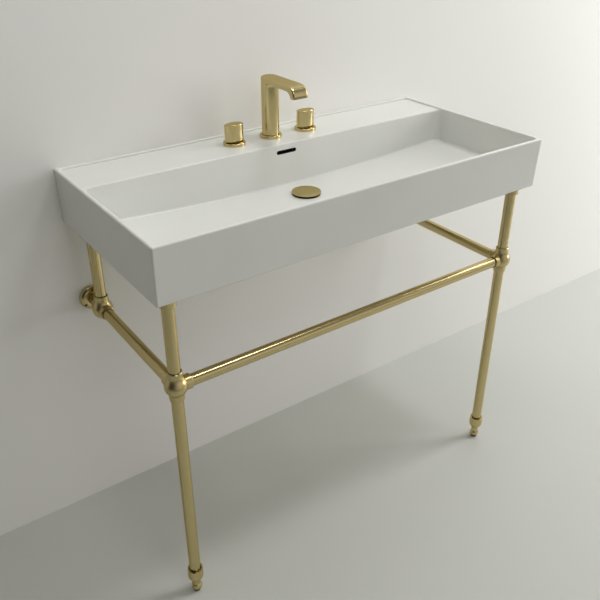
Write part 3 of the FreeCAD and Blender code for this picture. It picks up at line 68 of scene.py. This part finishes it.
# Places on the stand, the tap and the drain, in mm
STAND_X, FRONT_Y, REAR_Y, RAIL_Z = 469.0, -431.0, -67.0, -263.5
UPPER_MOUTH, LOWER_MOUTH, RAIL_MOUTH, WALL_MOUTH = 35.0, 33.0, 32.0, 28.0
FLANGE_MOUTH_Y = -14.0
FOOT_CUP_RING_Z = -785.5
TAP_X, TAP_Y = 101.6, -71.0
DRAIN_Y = -217.0
INLET_THREAD_LOW_Z, SHANK_THREAD_LOW_Z = -29.0, 25.3
DRAIN_THREAD_LOW_Z, FOOT_THREAD_LOW_Z = -91.5, -817.0

# Black overflow liner and its tongue, painted shade for the inside of the overflow, in mm
SLEEVE_Z, SLEEVE_FRONT_Y, SLEEVE_BACK_Y = 37.0, -137.0, -128.5
SLEEVE_HALF_LENGTH, SLEEVE_RADIUS, SLEEVE_WALL = 27.4, 4.65, 0.9
SLEEVE_EDGE, SLEEVE_EDGE_DEPTH = 0.3, 0.5
END_STEPS = 10
TONGUE_HALF_WIDTH, TONGUE_TOP_Z, TONGUE_LOW_Z, TONGUE_CORNER = 27.0, 41.4, 6.0, 3.0
TONGUE_FRONT_Y, TONGUE_BACK_Y = -120.0, -119.2

# Stage, in metres
STAGE_REACH = 9.0
STAGE_TOP = 4.0
WALL_GAP_EDGE = 0.012

# World: the side that is open to the light, the heights between which it fades, and its levels
OPEN_WAY = (0.485, -0.875, 0.0)
OPEN_SPREAD = 2.0
SKY_FADES_FROM, SKY_FADES_TO = 0.4, 0.9
DIM_LEVEL, OPEN_LEVEL = 0.04, 0.66

# Camera: sensor and lens in mm, place in metres, turns in degrees
SENSOR_WIDTH = 36.0
LENS = 43.83
CAMERA_PLACE = (-0.9397, -1.5056, 0.5972)
LOOKS_DOWN, LOOKS_RIGHT = 30.16, 35.57


def linear(hex_colour):
    """Turns an sRGB hex colour into the linear colour that a socket takes."""
    parts = [int(hex_colour[i:i + 2], 16) / 255 for i in (1, 3, 5)]
    return [p / 12.92 if p <= 0.04045 else ((p + 0.055) / 1.055) ** 2.4 for p in parts] + [1.0]


def add(tree, kind, inputs=None, **settings):
    """Adds a node with its settings, and sets or links the inputs that are given by name or number."""
    node = tree.nodes.new(kind)
    for name, value in settings.items():
        setattr(node, name, value)
    for name, value in (inputs or {}).items():
        if isinstance(value, bpy.types.NodeSocket):
            tree.links.new(value, node.inputs[name])
        else:
            node.inputs[name].default_value = value
    return node


def new_material(name):
    """Starts a material with a surface shader of its own, and gives back its tree and that shader."""
    material = bpy.data.materials.new(name)
    material.use_nodes = True
    tree = material.node_tree
    tree.nodes.clear()
    shader = add(tree, "ShaderNodeBsdfPrincipled")
    add(tree, "ShaderNodeOutputMaterial", {"Surface": shader.outputs[0]})
    return material, tree, shader


def link_finish(tree, shader, colour, roughness, bump=None):
    """Links a finish's colour and roughness, and its bump where it has one, to the surface shader."""
    tree.links.new(colour.outputs[2], shader.inputs["Base Color"])
    tree.links.new(roughness.outputs[0], shader.inputs["Roughness"])
    if bump is not None:
        tree.links.new(bump.outputs[0], shader.inputs["Normal"])


# Glazed fireclay: cast, sprayed with an opaque white glaze and fired once.
# The eye sees a soft neutral white with a low gloss, faint pooling of the glaze and a matt biscuit
# where no glaze was sprayed: the face against the wall, the service pocket and the underside.
def glazed_fireclay():
    material, tree, shader = new_material("glazed_fireclay")
    place = add(tree, "ShaderNodeTexCoord").outputs["Object"]
    pooling = add(tree, "ShaderNodeTexNoise", {
        "Vector": place, "Scale": 1 / (GLAZE_POOL * MM), "Detail": 2.0})
    grit = add(tree, "ShaderNodeTexNoise", {
        "Vector": place, "Scale": 1 / (BISCUIT_GRIT * MM), "Detail": 3.0})
    ripple = add(tree, "ShaderNodeTexNoise", {
        "Vector": place, "Scale": 1 / (GLAZE_RIPPLE * MM), "Detail": 1.0})
    glaze = add(tree, "ShaderNodeMix", {
        0: pooling.outputs["Fac"], 6: linear("#E8E9E4"), 7: linear("#E0E1DC")}, data_type="RGBA")
    biscuit = add(tree, "ShaderNodeMix", {
        0: grit.outputs["Fac"], 6: linear("#D8CFBD"), 7: linear("#C6BCA8")}, data_type="RGBA")
    axes = add(tree, "ShaderNodeSeparateXYZ", {0: place}).outputs
    at_wall = add(tree, "ShaderNodeMath", {
        0: axes["Y"], 1: -BARE_SKIN * MM}, operation="GREATER_THAN")
    below = add(tree, "ShaderNodeMath", {
        0: axes["Z"], 1: basin_low.z + BARE_SKIN * MM}, operation="LESS_THAN")
    deep = add(tree, "ShaderNodeMath", {
        0: axes["Y"], 1: POCKET_MIDDLE_Y * MM, 2: POCKET_HALF_DEPTH * MM}, operation="COMPARE")
    under = add(tree, "ShaderNodeMath", {
        0: axes["Z"], 1: POCKET_TOP_Z * MM}, operation="LESS_THAN")
    wide = add(tree, "ShaderNodeMath", {
        0: axes["X"], 1: 0.0, 2: POCKET_HALF_WIDTH * MM}, operation="COMPARE")
    pocket = add(tree, "ShaderNodeMath", {0: deep.outputs[0], 1: under.outputs[0]}, operation="MULTIPLY")
    pocket = add(tree, "ShaderNodeMath", {0: pocket.outputs[0], 1: wide.outputs[0]}, operation="MULTIPLY")
    bare = add(tree, "ShaderNodeMath", {0: at_wall.outputs[0], 1: below.outputs[0]}, operation="MAXIMUM")
    bare = add(tree, "ShaderNodeMath", {0: bare.outputs[0], 1: pocket.outputs[0]}, operation="MAXIMUM")
    colour = add(tree, "ShaderNodeMix", {
        0: bare.outputs[0], 6: glaze.outputs[2], 7: biscuit.outputs[2]}, data_type="RGBA")
    roughness = add(tree, "ShaderNodeMapRange", {
        "Value": pooling.outputs["Fac"], "To Min": 0.20, "To Max": 0.27})
    roughness = add(tree, "ShaderNodeMix", {
        0: bare.outputs[0], 2: roughness.outputs[0], 3: BISCUIT_ROUGHNESS}, data_type="FLOAT")
    relief = add(tree, "ShaderNodeMix", {
        0: bare.outputs[0], 2: ripple.outputs["Fac"], 3: grit.outputs["Fac"]}, data_type="FLOAT")
    bump = add(tree, "ShaderNodeBump", {
        "Height": relief.outputs[0], "Strength": 0.12, "Distance": 0.25 * MM})
    link_finish(tree, shader, colour, roughness, bump)
    shader.inputs["IOR"].default_value = 1.52
    return material


# Brushed brass: drawn, turned or cast, then brushed with a fine abrasive belt and lacquered.
# The eye sees a pale satin gold with highlights drawn out across the brush lines, darker at its edges,
# and the lacquer puts a paler glint on top.
# The lines are a few tenths of a millimetre wide on the real piece, and are drawn wider here to show.
def brushed_brass(name, line_mm, rough_low=0.17, rough_high=0.26):
    material, tree, shader = new_material(name)
    place = add(tree, "ShaderNodeTexCoord").outputs["Object"]
    stretched = add(tree, "ShaderNodeMapping", {
        "Vector": place, "Scale": [1 / (size * MM) for size in line_mm]})
    lines = add(tree, "ShaderNodeTexNoise", {"Vector": stretched.outputs[0], "Scale": 1.0, "Detail": 2.0})
    drift = add(tree, "ShaderNodeTexNoise", {
        "Vector": place, "Scale": 1 / (BRASS_DRIFT * MM), "Detail": 2.0})
    brushed = add(tree, "ShaderNodeMix", {
        0: lines.outputs["Fac"], 6: linear("#D6C693"), 7: linear("#C4B380")}, data_type="RGBA")
    colour = add(tree, "ShaderNodeMix", {
        0: drift.outputs["Fac"], 6: brushed.outputs[2], 7: linear("#CCBB88")}, data_type="RGBA")
    roughness = add(tree, "ShaderNodeMapRange", {
        "Value": lines.outputs["Fac"], "To Min": rough_low, "To Max": rough_high})
    bump = add(tree, "ShaderNodeBump", {
        "Height": lines.outputs["Fac"], "Strength": 0.04, "Distance": 0.05 * MM})
    link_finish(tree, shader, colour, roughness, bump)
    shader.inputs["Metallic"].default_value = 1.0
    shader.inputs["Specular Tint"].default_value = linear("#D8CAA2")
    shader.inputs["Coat Weight"].default_value = 0.3
    shader.inputs["Coat Roughness"].default_value = 0.2
    return material


# Machined brass: bar stock as it leaves the lathe, under the basin and out of sight.
# The eye sees a yellower, duller metal than the brushed pieces, with a trace of tarnish.
def machined_brass():
    material, tree, shader = new_material("machined_brass")
    place = add(tree, "ShaderNodeTexCoord").outputs["Object"]
    tarnish = add(tree, "ShaderNodeTexNoise", {
        "Vector": place, "Scale": 1 / (TARNISH_CLOUD * MM), "Detail": 4.0})
    cuts = add(tree, "ShaderNodeTexNoise", {"Vector": place, "Scale": 1 / (LATHE_CUT * MM), "Detail": 2.0})
    colour = add(tree, "ShaderNodeMix", {
        0: tarnish.outputs["Fac"], 6: linear("#CBA75C"), 7: linear("#A98745")}, data_type="RGBA")
    roughness = add(tree, "ShaderNodeMapRange", {
        "Value": tarnish.outputs["Fac"], "To Min": 0.24, "To Max": 0.46})
    bump = add(tree, "ShaderNodeBump", {
        "Height": cuts.outputs["Fac"], "Strength": 0.12, "Distance": 0.08 * MM})
    link_finish(tree, shader, colour, roughness, bump)
    shader.inputs["Metallic"].default_value = 1.0
    return material


# Zinc-plated steel: pressed and barrel plated. The eye sees a cool grey metal with a cloudy spangle.
def zinc_plated_steel():
    material, tree, shader = new_material("zinc_plated_steel")
    place = add(tree, "ShaderNodeTexCoord").outputs["Object"]
    spangle = add(tree, "ShaderNodeTexVoronoi", {"Vector": place, "Scale": 1 / (ZINC_SPANGLE * MM)})
    colour = add(tree, "ShaderNodeMix", {
        0: spangle.outputs["Color"], 6: linear("#B9BCC0"), 7: linear("#9DA1A7")}, data_type="RGBA")
    roughness = add(tree, "ShaderNodeMapRange", {
        "Value": spangle.outputs["Distance"], "To Min": 0.28, "To Max": 0.42})
    link_finish(tree, shader, colour, roughness)
    shader.inputs["Metallic"].default_value = 1.0
    return material


# Moulded and lapped pieces without metal: black rubber, grey acetal, alumina, and the dark brown and black
# that paint the shade in the socket gaps and inside the overflow.
# The eye sees a fine grain, a slight drift of tone and a soft sheen.
def moulded(name, light_hex, dark_hex, grain_mm, rough_low, rough_high, depth):
    material, tree, shader = new_material(name)
    place = add(tree, "ShaderNodeTexCoord").outputs["Object"]
    grain = add(tree, "ShaderNodeTexNoise", {"Vector": place, "Scale": 1 / (grain_mm * MM), "Detail": 3.0})
    colour = add(tree, "ShaderNodeMix", {
        0: grain.outputs["Fac"], 6: linear(light_hex), 7: linear(dark_hex)}, data_type="RGBA")
    roughness = add(tree, "ShaderNodeMapRange", {
        "Value": grain.outputs["Fac"], "To Min": rough_low, "To Max": rough_high})
    bump = add(tree, "ShaderNodeBump", {
        "Height": grain.outputs["Fac"], "Strength": depth, "Distance": 0.1 * MM})
    link_finish(tree, shader, colour, roughness, bump)
    return material


along, across = BRUSH_LINE_LENGTH, BRUSH_LINE_WIDTH
fireclay = glazed_fireclay()
brass_along_x = brushed_brass("brass_brushed_along_front_rail", (along, across, across))
brass_along_y = brushed_brass("brass_brushed_along_side_rails", (across, along, across))
brass_upright = brushed_brass("brass_brushed_upright", (across, across, along))
brass_turned = brushed_brass("brass_turned_upright", (along, along, across))
brass_rose = brushed_brass("brass_turned_to_wall", (along, across, along))
brass_cast = brushed_brass("brass_cast_and_satined", (CAST_GRAIN, CAST_GRAIN, CAST_GRAIN),
                           rough_low=0.26, rough_high=0.34)
plain_brass = machined_brass()
steel = zinc_plated_steel()
rubber = moulded("moulded_black_rubber", "#2A2A29", "#1D1D1C",
                 grain_mm=1.5, rough_low=0.55, rough_high=0.75, depth=0.3)
# Dark brown for the rings at the socket mouths and foot cups: painted shade standing in for the dark gap
# there
gap_shade_brown = moulded("painted_gap_shade_brown", "#43351D", "#352914",
                       grain_mm=1.5, rough_low=0.50, rough_high=0.65, depth=0.2)
# Near-black for the overflow liner and tongue: painted shade for the inside of the overflow
overflow_shade_black = moulded("painted_overflow_shade_black", "#171716", "#0F0F0F",
                        grain_mm=1.2, rough_low=0.45, rough_high=0.60, depth=0.2)
alumina = moulded("lapped_alumina", "#E8E4DA", "#DAD5C8",
                  grain_mm=4.0, rough_low=0.16, rough_high=0.26, depth=0.05)
acetal = moulded("moulded_grey_acetal", "#8E9194", "#808386",
                 grain_mm=2.0, rough_low=0.38, rough_high=0.50, depth=0.15)

finish_of_slot = {
    "fireclay": fireclay, "brushed_brass": brass_turned, "plain_brass": plain_brass, "steel": steel,
    "rubber": rubber, "valve_ceramic": alumina, "grey_plastic": acetal}
finish_of_node = {
    "front_rail": brass_along_x,
    "left_side_rail": brass_along_y, "right_side_rail": brass_along_y, "wall_stubs": brass_along_y,
    "left_wall_flange": brass_rose, "right_wall_flange": brass_rose,
    "front_left_leg": brass_upright, "front_right_leg": brass_upright,
    "front_left_post": brass_upright, "front_right_post": brass_upright,
    "rear_left_post": brass_upright, "rear_right_post": brass_upright,
    "front_left_fitting": brass_cast, "front_right_fitting": brass_cast,
    "rear_left_fitting": brass_cast, "rear_right_fitting": brass_cast,
    "spout_body": brass_upright, "left_handle_knob": brass_upright, "right_handle_knob": brass_upright}
for name, node in nodes.items():
    slot = node.data.materials[0].name.split(".")[0]
    node.material_slots[0].material = finish_of_node.get(name, finish_of_slot[slot])


# Pieces that repeat: grown on points by small trees, each point with a direction of its own
def start_tree(name, sizes):
    """Starts a tree with a named input for each size, and gives back the tree and its inputs."""
    tree = bpy.data.node_groups.new(name, "GeometryNodeTree")
    tree.interface.new_socket("Points", in_out="INPUT", socket_type="NodeSocketGeometry")
    for size in sizes:
        tree.interface.new_socket(size, in_out="INPUT", socket_type="NodeSocketFloat")
    tree.interface.new_socket("Finish", in_out="INPUT", socket_type="NodeSocketMaterial")
    tree.interface.new_socket("Pieces", in_out="OUTPUT", socket_type="NodeSocketGeometry")
    return tree, add(tree, "NodeGroupInput").outputs


def end_tree(tree, given, one_piece):
    """Sets one piece on every point, turned to the point's direction, as a plain mesh with its finish."""
    direction = add(tree, "GeometryNodeInputNamedAttribute", {"Name": "direction"}, data_type="FLOAT_VECTOR")
    turn = add(tree, "FunctionNodeAlignRotationToVector", {
        "Vector": direction.outputs["Attribute"]}, axis="Z")
    copies = add(tree, "GeometryNodeInstanceOnPoints", {
        "Points": given["Points"], "Instance": one_piece, "Rotation": turn.outputs[0]})
    real = add(tree, "GeometryNodeRealizeInstances", {0: copies.outputs[0]})
    finished = add(tree, "GeometryNodeSetMaterial", {
        "Geometry": real.outputs[0], "Material": given["Finish"]})
    add(tree, "NodeGroupOutput", {0: finished.outputs[0]})


def shade_gap_ring_tree():
    tree, given = start_tree("shade_gap_ring", ["Ring Radius", "Cord Radius"])
    ring = add(tree, "GeometryNodeCurvePrimitiveCircle", {"Resolution": 56, "Radius": given["Ring Radius"]})
    cord = add(tree, "GeometryNodeCurvePrimitiveCircle", {"Resolution": 10, "Radius": given["Cord Radius"]})
    body = add(tree, "GeometryNodeCurveToMesh", {"Curve": ring.outputs[0], "Profile Curve": cord.outputs[0]})
    smooth = add(tree, "GeometryNodeSetShadeSmooth", {"Geometry": body.outputs[0]})
    end_tree(tree, given, smooth.outputs[0])
    return tree


def thread_tree():
    tree, given = start_tree("screw_thread", ["Thread Radius", "Pitch", "Length", "Ridge Radius"])
    turns = add(tree, "ShaderNodeMath", {0: given["Length"], 1: given["Pitch"]}, operation="DIVIDE")
    helix = add(tree, "GeometryNodeCurveSpiral", {
        "Resolution": 40, "Rotations": turns.outputs[0], "Start Radius": given["Thread Radius"],
        "End Radius": given["Thread Radius"], "Height": given["Length"]})
    level = add(tree, "GeometryNodeSetCurveNormal", {"Curve": helix.outputs[0]}, mode="Z_UP")
    ridge = add(tree, "GeometryNodeCurvePrimitiveCircle", {"Resolution": 4, "Radius": given["Ridge Radius"]})
    body = add(tree, "GeometryNodeCurveToMesh", {
        "Curve": level.outputs[0], "Profile Curve": ridge.outputs[0], "Fill Caps": True})
    end_tree(tree, given, body.outputs[0])
    return tree


def grow(name, tree, sizes_mm, finish, spots_mm, body):
    """Grows a tree's piece on each spot, a place and a direction, as one plain mesh that rides on a body."""
    mesh = bpy.data.meshes.new(name)
    mesh.from_pydata([[value * MM for value in place] for place, _ in spots_mm], [], [])
    mesh.attributes.new("direction", "FLOAT_VECTOR", "POINT").data.foreach_set(
        "vector", [value for _, direction in spots_mm for value in direction])
    piece = bpy.data.objects.new(name, mesh)
    scene.collection.objects.link(piece)
    modifier = piece.modifiers.new("grow", "NODES")
    modifier.node_group = tree
    for item in tree.interface.items_tree:
        if item.name in sizes_mm:
            modifier[item.identifier] = sizes_mm[item.name] * MM
        if item.name == "Finish":
            modifier[item.identifier] = finish
    grown = bpy.data.meshes.new_from_object(piece.evaluated_get(bpy.context.evaluated_depsgraph_get()))
    piece.modifiers.clear()
    piece.data = grown
    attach(piece, body)


UP, DOWN, TO_ROOM, TO_WALL = (0, 0, 1), (0, 0, -1), (0, -1, 0), (0, 1, 0)
mouths = []
for side in (-1, 1):
    x = side * STAND_X
    inwards = (-side, 0, 0)
    mouths += [
        ((x, FRONT_Y, RAIL_Z + UPPER_MOUTH), UP), ((x, FRONT_Y, RAIL_Z - LOWER_MOUTH), DOWN),
        ((x - side * RAIL_MOUTH, FRONT_Y, RAIL_Z), inwards), ((x, FRONT_Y + RAIL_MOUTH, RAIL_Z), TO_WALL),
        ((x, REAR_Y, RAIL_Z + UPPER_MOUTH), UP), ((x, REAR_Y - RAIL_MOUTH, RAIL_Z), TO_ROOM),
        ((x, REAR_Y + WALL_MOUTH, RAIL_Z), TO_WALL), ((x, FLANGE_MOUTH_Y, RAIL_Z), TO_ROOM)]
    for y in (FRONT_Y, REAR_Y):
        mouths.append(((x, y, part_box("top_sockets")[0].z / MM), DOWN))
# Dark brown rings in the gap at each socket mouth and foot cup, painting the shade of that gap
ring = shade_gap_ring_tree()
grow("socket_mouth_shade_rings", ring, {"Ring Radius": 13.0, "Cord Radius": 0.65},
     gap_shade_brown, mouths, "sink")
grow("foot_cup_seal_rings", ring, {"Ring Radius": 13.5, "Cord Radius": 0.75},
     gap_shade_brown, [((x, FRONT_Y, FOOT_CUP_RING_Z), UP) for x in (-STAND_X, STAND_X)], "sink")

thread = thread_tree()
grow("valve_inlet_threads", thread,
     {"Thread Radius": 10.25, "Pitch": 1.8, "Length": 21.6, "Ridge Radius": 0.55}, plain_brass,
     [((x, TAP_Y, INLET_THREAD_LOW_Z), UP) for x in (-TAP_X, TAP_X)], "sink")
grow("deck_shank_threads", thread,
     {"Thread Radius": 16.2, "Pitch": 1.5, "Length": 4.5, "Ridge Radius": 0.45}, plain_brass,
     [((x, TAP_Y, SHANK_THREAD_LOW_Z), UP) for x in (-TAP_X, 0, TAP_X)], "sink")
grow("drain_body_thread", thread,
     {"Thread Radius": 22.45, "Pitch": 2.0, "Length": 11, "Ridge Radius": 0.6}, brass_turned,
     [((0, DRAIN_Y, DRAIN_THREAD_LOW_Z), UP)], "sink")
for side, name in ((-1, "left"), (1, "right")):
    grow(name + "_foot_thread", thread,
         {"Thread Radius": 4.95, "Pitch": 1.5, "Length": 27, "Ridge Radius": 0.4}, brass_turned,
         [((side * STAND_X, FRONT_Y, FOOT_THREAD_LOW_Z), UP)], name + "_foot")


# Overflow liner: a black lining in the overflow slot, with a black tongue down the back of the duct, which
# paint the shade inside the overflow
def slot_outline(half_length, radius, y):
    """Points round a slot with round ends, in metres."""
    points = []
    for end, start in ((1, -90), (-1, 90)):
        for step in range(END_STEPS + 1):
            angle = math.radians(start + 180 * step / END_STEPS)
            x = end * (half_length - radius) + radius * math.cos(angle)
            points.append((x * MM, y * MM, (SLEEVE_Z + radius * math.sin(angle)) * MM))
    return points


def join_rings(shape, one, two):
    """Closes the band between two rings of as many points."""
    for i in range(len(one)):
        j = (i + 1) % len(one)
        shape.faces.new((one[i], one[j], two[j], two[i]))


def overflow_shade_liner():
    edge_y = SLEEVE_FRONT_Y + SLEEVE_EDGE_DEPTH
    section = (
        (0, SLEEVE_BACK_Y), (0, edge_y), (SLEEVE_EDGE, SLEEVE_FRONT_Y),
        (SLEEVE_WALL - SLEEVE_EDGE, SLEEVE_FRONT_Y), (SLEEVE_WALL, edge_y), (SLEEVE_WALL, SLEEVE_BACK_Y))
    shape = bmesh.new()
    rings = [[shape.verts.new(place)
              for place in slot_outline(SLEEVE_HALF_LENGTH - inset, SLEEVE_RADIUS - inset, y)]
             for inset, y in section]
    for one, two in zip(rings, rings[1:] + rings[:1]):
        join_rings(shape, one, two)
    wide, narrow = TONGUE_HALF_WIDTH, TONGUE_HALF_WIDTH - TONGUE_CORNER
    shoulder = TONGUE_LOW_Z + TONGUE_CORNER
    outline = (
        (-wide, TONGUE_TOP_Z), (wide, TONGUE_TOP_Z), (wide, shoulder),
        (narrow, TONGUE_LOW_Z), (-narrow, TONGUE_LOW_Z), (-wide, shoulder))
    front, back = [[shape.verts.new((x * MM, y * MM, z * MM)) for x, z in outline]
                   for y in (TONGUE_FRONT_Y, TONGUE_BACK_Y)]
    shape.faces.new(front)
    shape.faces.new(list(reversed(back)))
    join_rings(shape, front, back)
    bmesh.ops.recalc_face_normals(shape, faces=shape.faces)
    mesh = bpy.data.meshes.new("overflow_shade_liner")
    shape.to_mesh(mesh)
    shape.free()
    # Black, to paint the shade inside the overflow slot
    mesh.materials.append(overflow_shade_black)
    sleeve = bpy.data.objects.new("overflow_shade_liner", mesh)
    scene.collection.objects.link(sleeve)
    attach(sleeve, "sink")


overflow_shade_liner()


# Stage: a plain floor and a plain wall that are seen only from their front
def one_sided(name, hex_colour, roughness):
    material, tree, shader = new_material(name)
    shader.inputs["Base Color"].default_value = linear(hex_colour)
    shader.inputs["Roughness"].default_value = roughness
    clear = add(tree, "ShaderNodeBsdfTransparent")
    side = add(tree, "ShaderNodeNewGeometry")
    mixed = add(tree, "ShaderNodeMixShader", {
        0: side.outputs["Backfacing"], 1: shader.outputs[0], 2: clear.outputs[0]})
    tree.links.new(mixed.outputs[0], tree.nodes["Material Output"].inputs["Surface"])
    return material


def stage_sheet(name, corners, faces, material):
    mesh = bpy.data.meshes.new(name)
    mesh.from_pydata(corners, [], faces)
    mesh.materials.append(material)
    sheet = bpy.data.objects.new(name, mesh)
    scene.collection.objects.link(sheet)


floor_paint = one_sided("matt_floor_paint", "#CACCC6", 0.45)
wall_paint = one_sided("matt_wall_paint", "#F1F0EC", 0.6)
stage_sheet("studio_floor", [
    (-STAGE_REACH, -STAGE_REACH, FLOOR_Z), (STAGE_REACH, -STAGE_REACH, FLOOR_Z),
    (STAGE_REACH, WALL_Y, FLOOR_Z), (-STAGE_REACH, WALL_Y, FLOOR_Z)],
    [(0, 1, 2, 3)], floor_paint)
# The wall is left open behind the basin, so that the basin's own back gets light from behind
left_x, right_x = basin_low.x + WALL_GAP_EDGE, basin_high.x - WALL_GAP_EDGE
low_z, high_z = basin_low.z + WALL_GAP_EDGE, basin_high.z - WALL_GAP_EDGE
stage_sheet("studio_wall", [
    (-STAGE_REACH, WALL_Y, FLOOR_Z), (STAGE_REACH, WALL_Y, FLOOR_Z),
    (STAGE_REACH, WALL_Y, STAGE_TOP), (-STAGE_REACH, WALL_Y, STAGE_TOP),
    (left_x, WALL_Y, low_z), (right_x, WALL_Y, low_z), (right_x, WALL_Y, high_z), (left_x, WALL_Y, high_z)],
    [(0, 1, 5, 4), (1, 2, 6, 5), (2, 3, 7, 6), (3, 0, 4, 7)], wall_paint)


# Light: three lamps overhead, a tall soft one on the right, a faint one in front, and a dim world
# that is paler in front, where a room would be open to the light
def soft_lamp(name, place, aim, width, height, watts):
    lamp = bpy.data.lights.new(name, "AREA")
    lamp.shape = "RECTANGLE"
    lamp.size = width
    lamp.size_y = height
    lamp.energy = watts
    holder = bpy.data.objects.new(name, lamp)
    holder.location = place
    holder.rotation_euler = (Vector(aim) - Vector(place)).to_track_quat("-Z", "Y").to_euler()
    scene.collection.objects.link(holder)


soft_lamp("overhead_lamp", (0.95, -0.9, 2.8), (0, -0.4, 0), width=0.7, height=0.7, watts=22.5)
soft_lamp("left_ceiling_lamp", (-0.6, -0.5, 2.8), (0, -0.3, 0), width=1.0, height=1.0, watts=12)
soft_lamp("right_ceiling_lamp", (3.4, -0.9, 2.8), (0, -0.3, -0.1), width=0.8, height=0.6, watts=15)
soft_lamp("right_lamp", (3.0, -1.2, 0.6), (0, -0.2, -0.3), width=1.0, height=2.0, watts=44)
soft_lamp("front_lamp", (-0.3, -2.5, 2.3), (0, -0.2, 0), width=0.8, height=0.8, watts=8)

world = bpy.data.worlds.new("soft_studio")
scene.world = world
world.use_nodes = True
around = world.node_tree
around.nodes.clear()
towards = add(around, "ShaderNodeTexCoord").outputs["Generated"]
height = add(around, "ShaderNodeSeparateXYZ", {0: towards}).outputs["Z"]
facing = add(around, "ShaderNodeVectorMath", {0: towards, 1: OPEN_WAY}, operation="DOT_PRODUCT")
facing = add(around, "ShaderNodeMath", {0: facing.outputs["Value"], 1: 0.0}, operation="MAXIMUM")
facing = add(around, "ShaderNodeMath", {0: facing.outputs[0], 1: OPEN_SPREAD}, operation="POWER")
fading = add(around, "ShaderNodeMapRange", {
    "Value": height, "From Min": SKY_FADES_TO, "From Max": SKY_FADES_FROM}, interpolation_type="SMOOTHSTEP")
paler = add(around, "ShaderNodeMath", {0: facing.outputs[0], 1: fading.outputs[0]}, operation="MULTIPLY")
level = add(around, "ShaderNodeMapRange", {
    "Value": paler.outputs[0], "To Min": DIM_LEVEL, "To Max": OPEN_LEVEL})
sky = add(around, "ShaderNodeBackground", {"Color": linear("#FFFBF4"), "Strength": level.outputs[0]})
add(around, "ShaderNodeOutputWorld", {"Surface": sky.outputs[0]})

# Camera at the photograph's viewing angle
view = bpy.data.cameras.new("camera")
view.sensor_width = SENSOR_WIDTH
view.sensor_fit = "HORIZONTAL"
view.lens = LENS
camera = bpy.data.objects.new("camera", view)
camera.location = CAMERA_PLACE
camera.rotation_euler = (math.radians(90 - LOOKS_DOWN), 0, math.radians(-LOOKS_RIGHT))
scene.collection.objects.link(camera)
scene.camera = camera
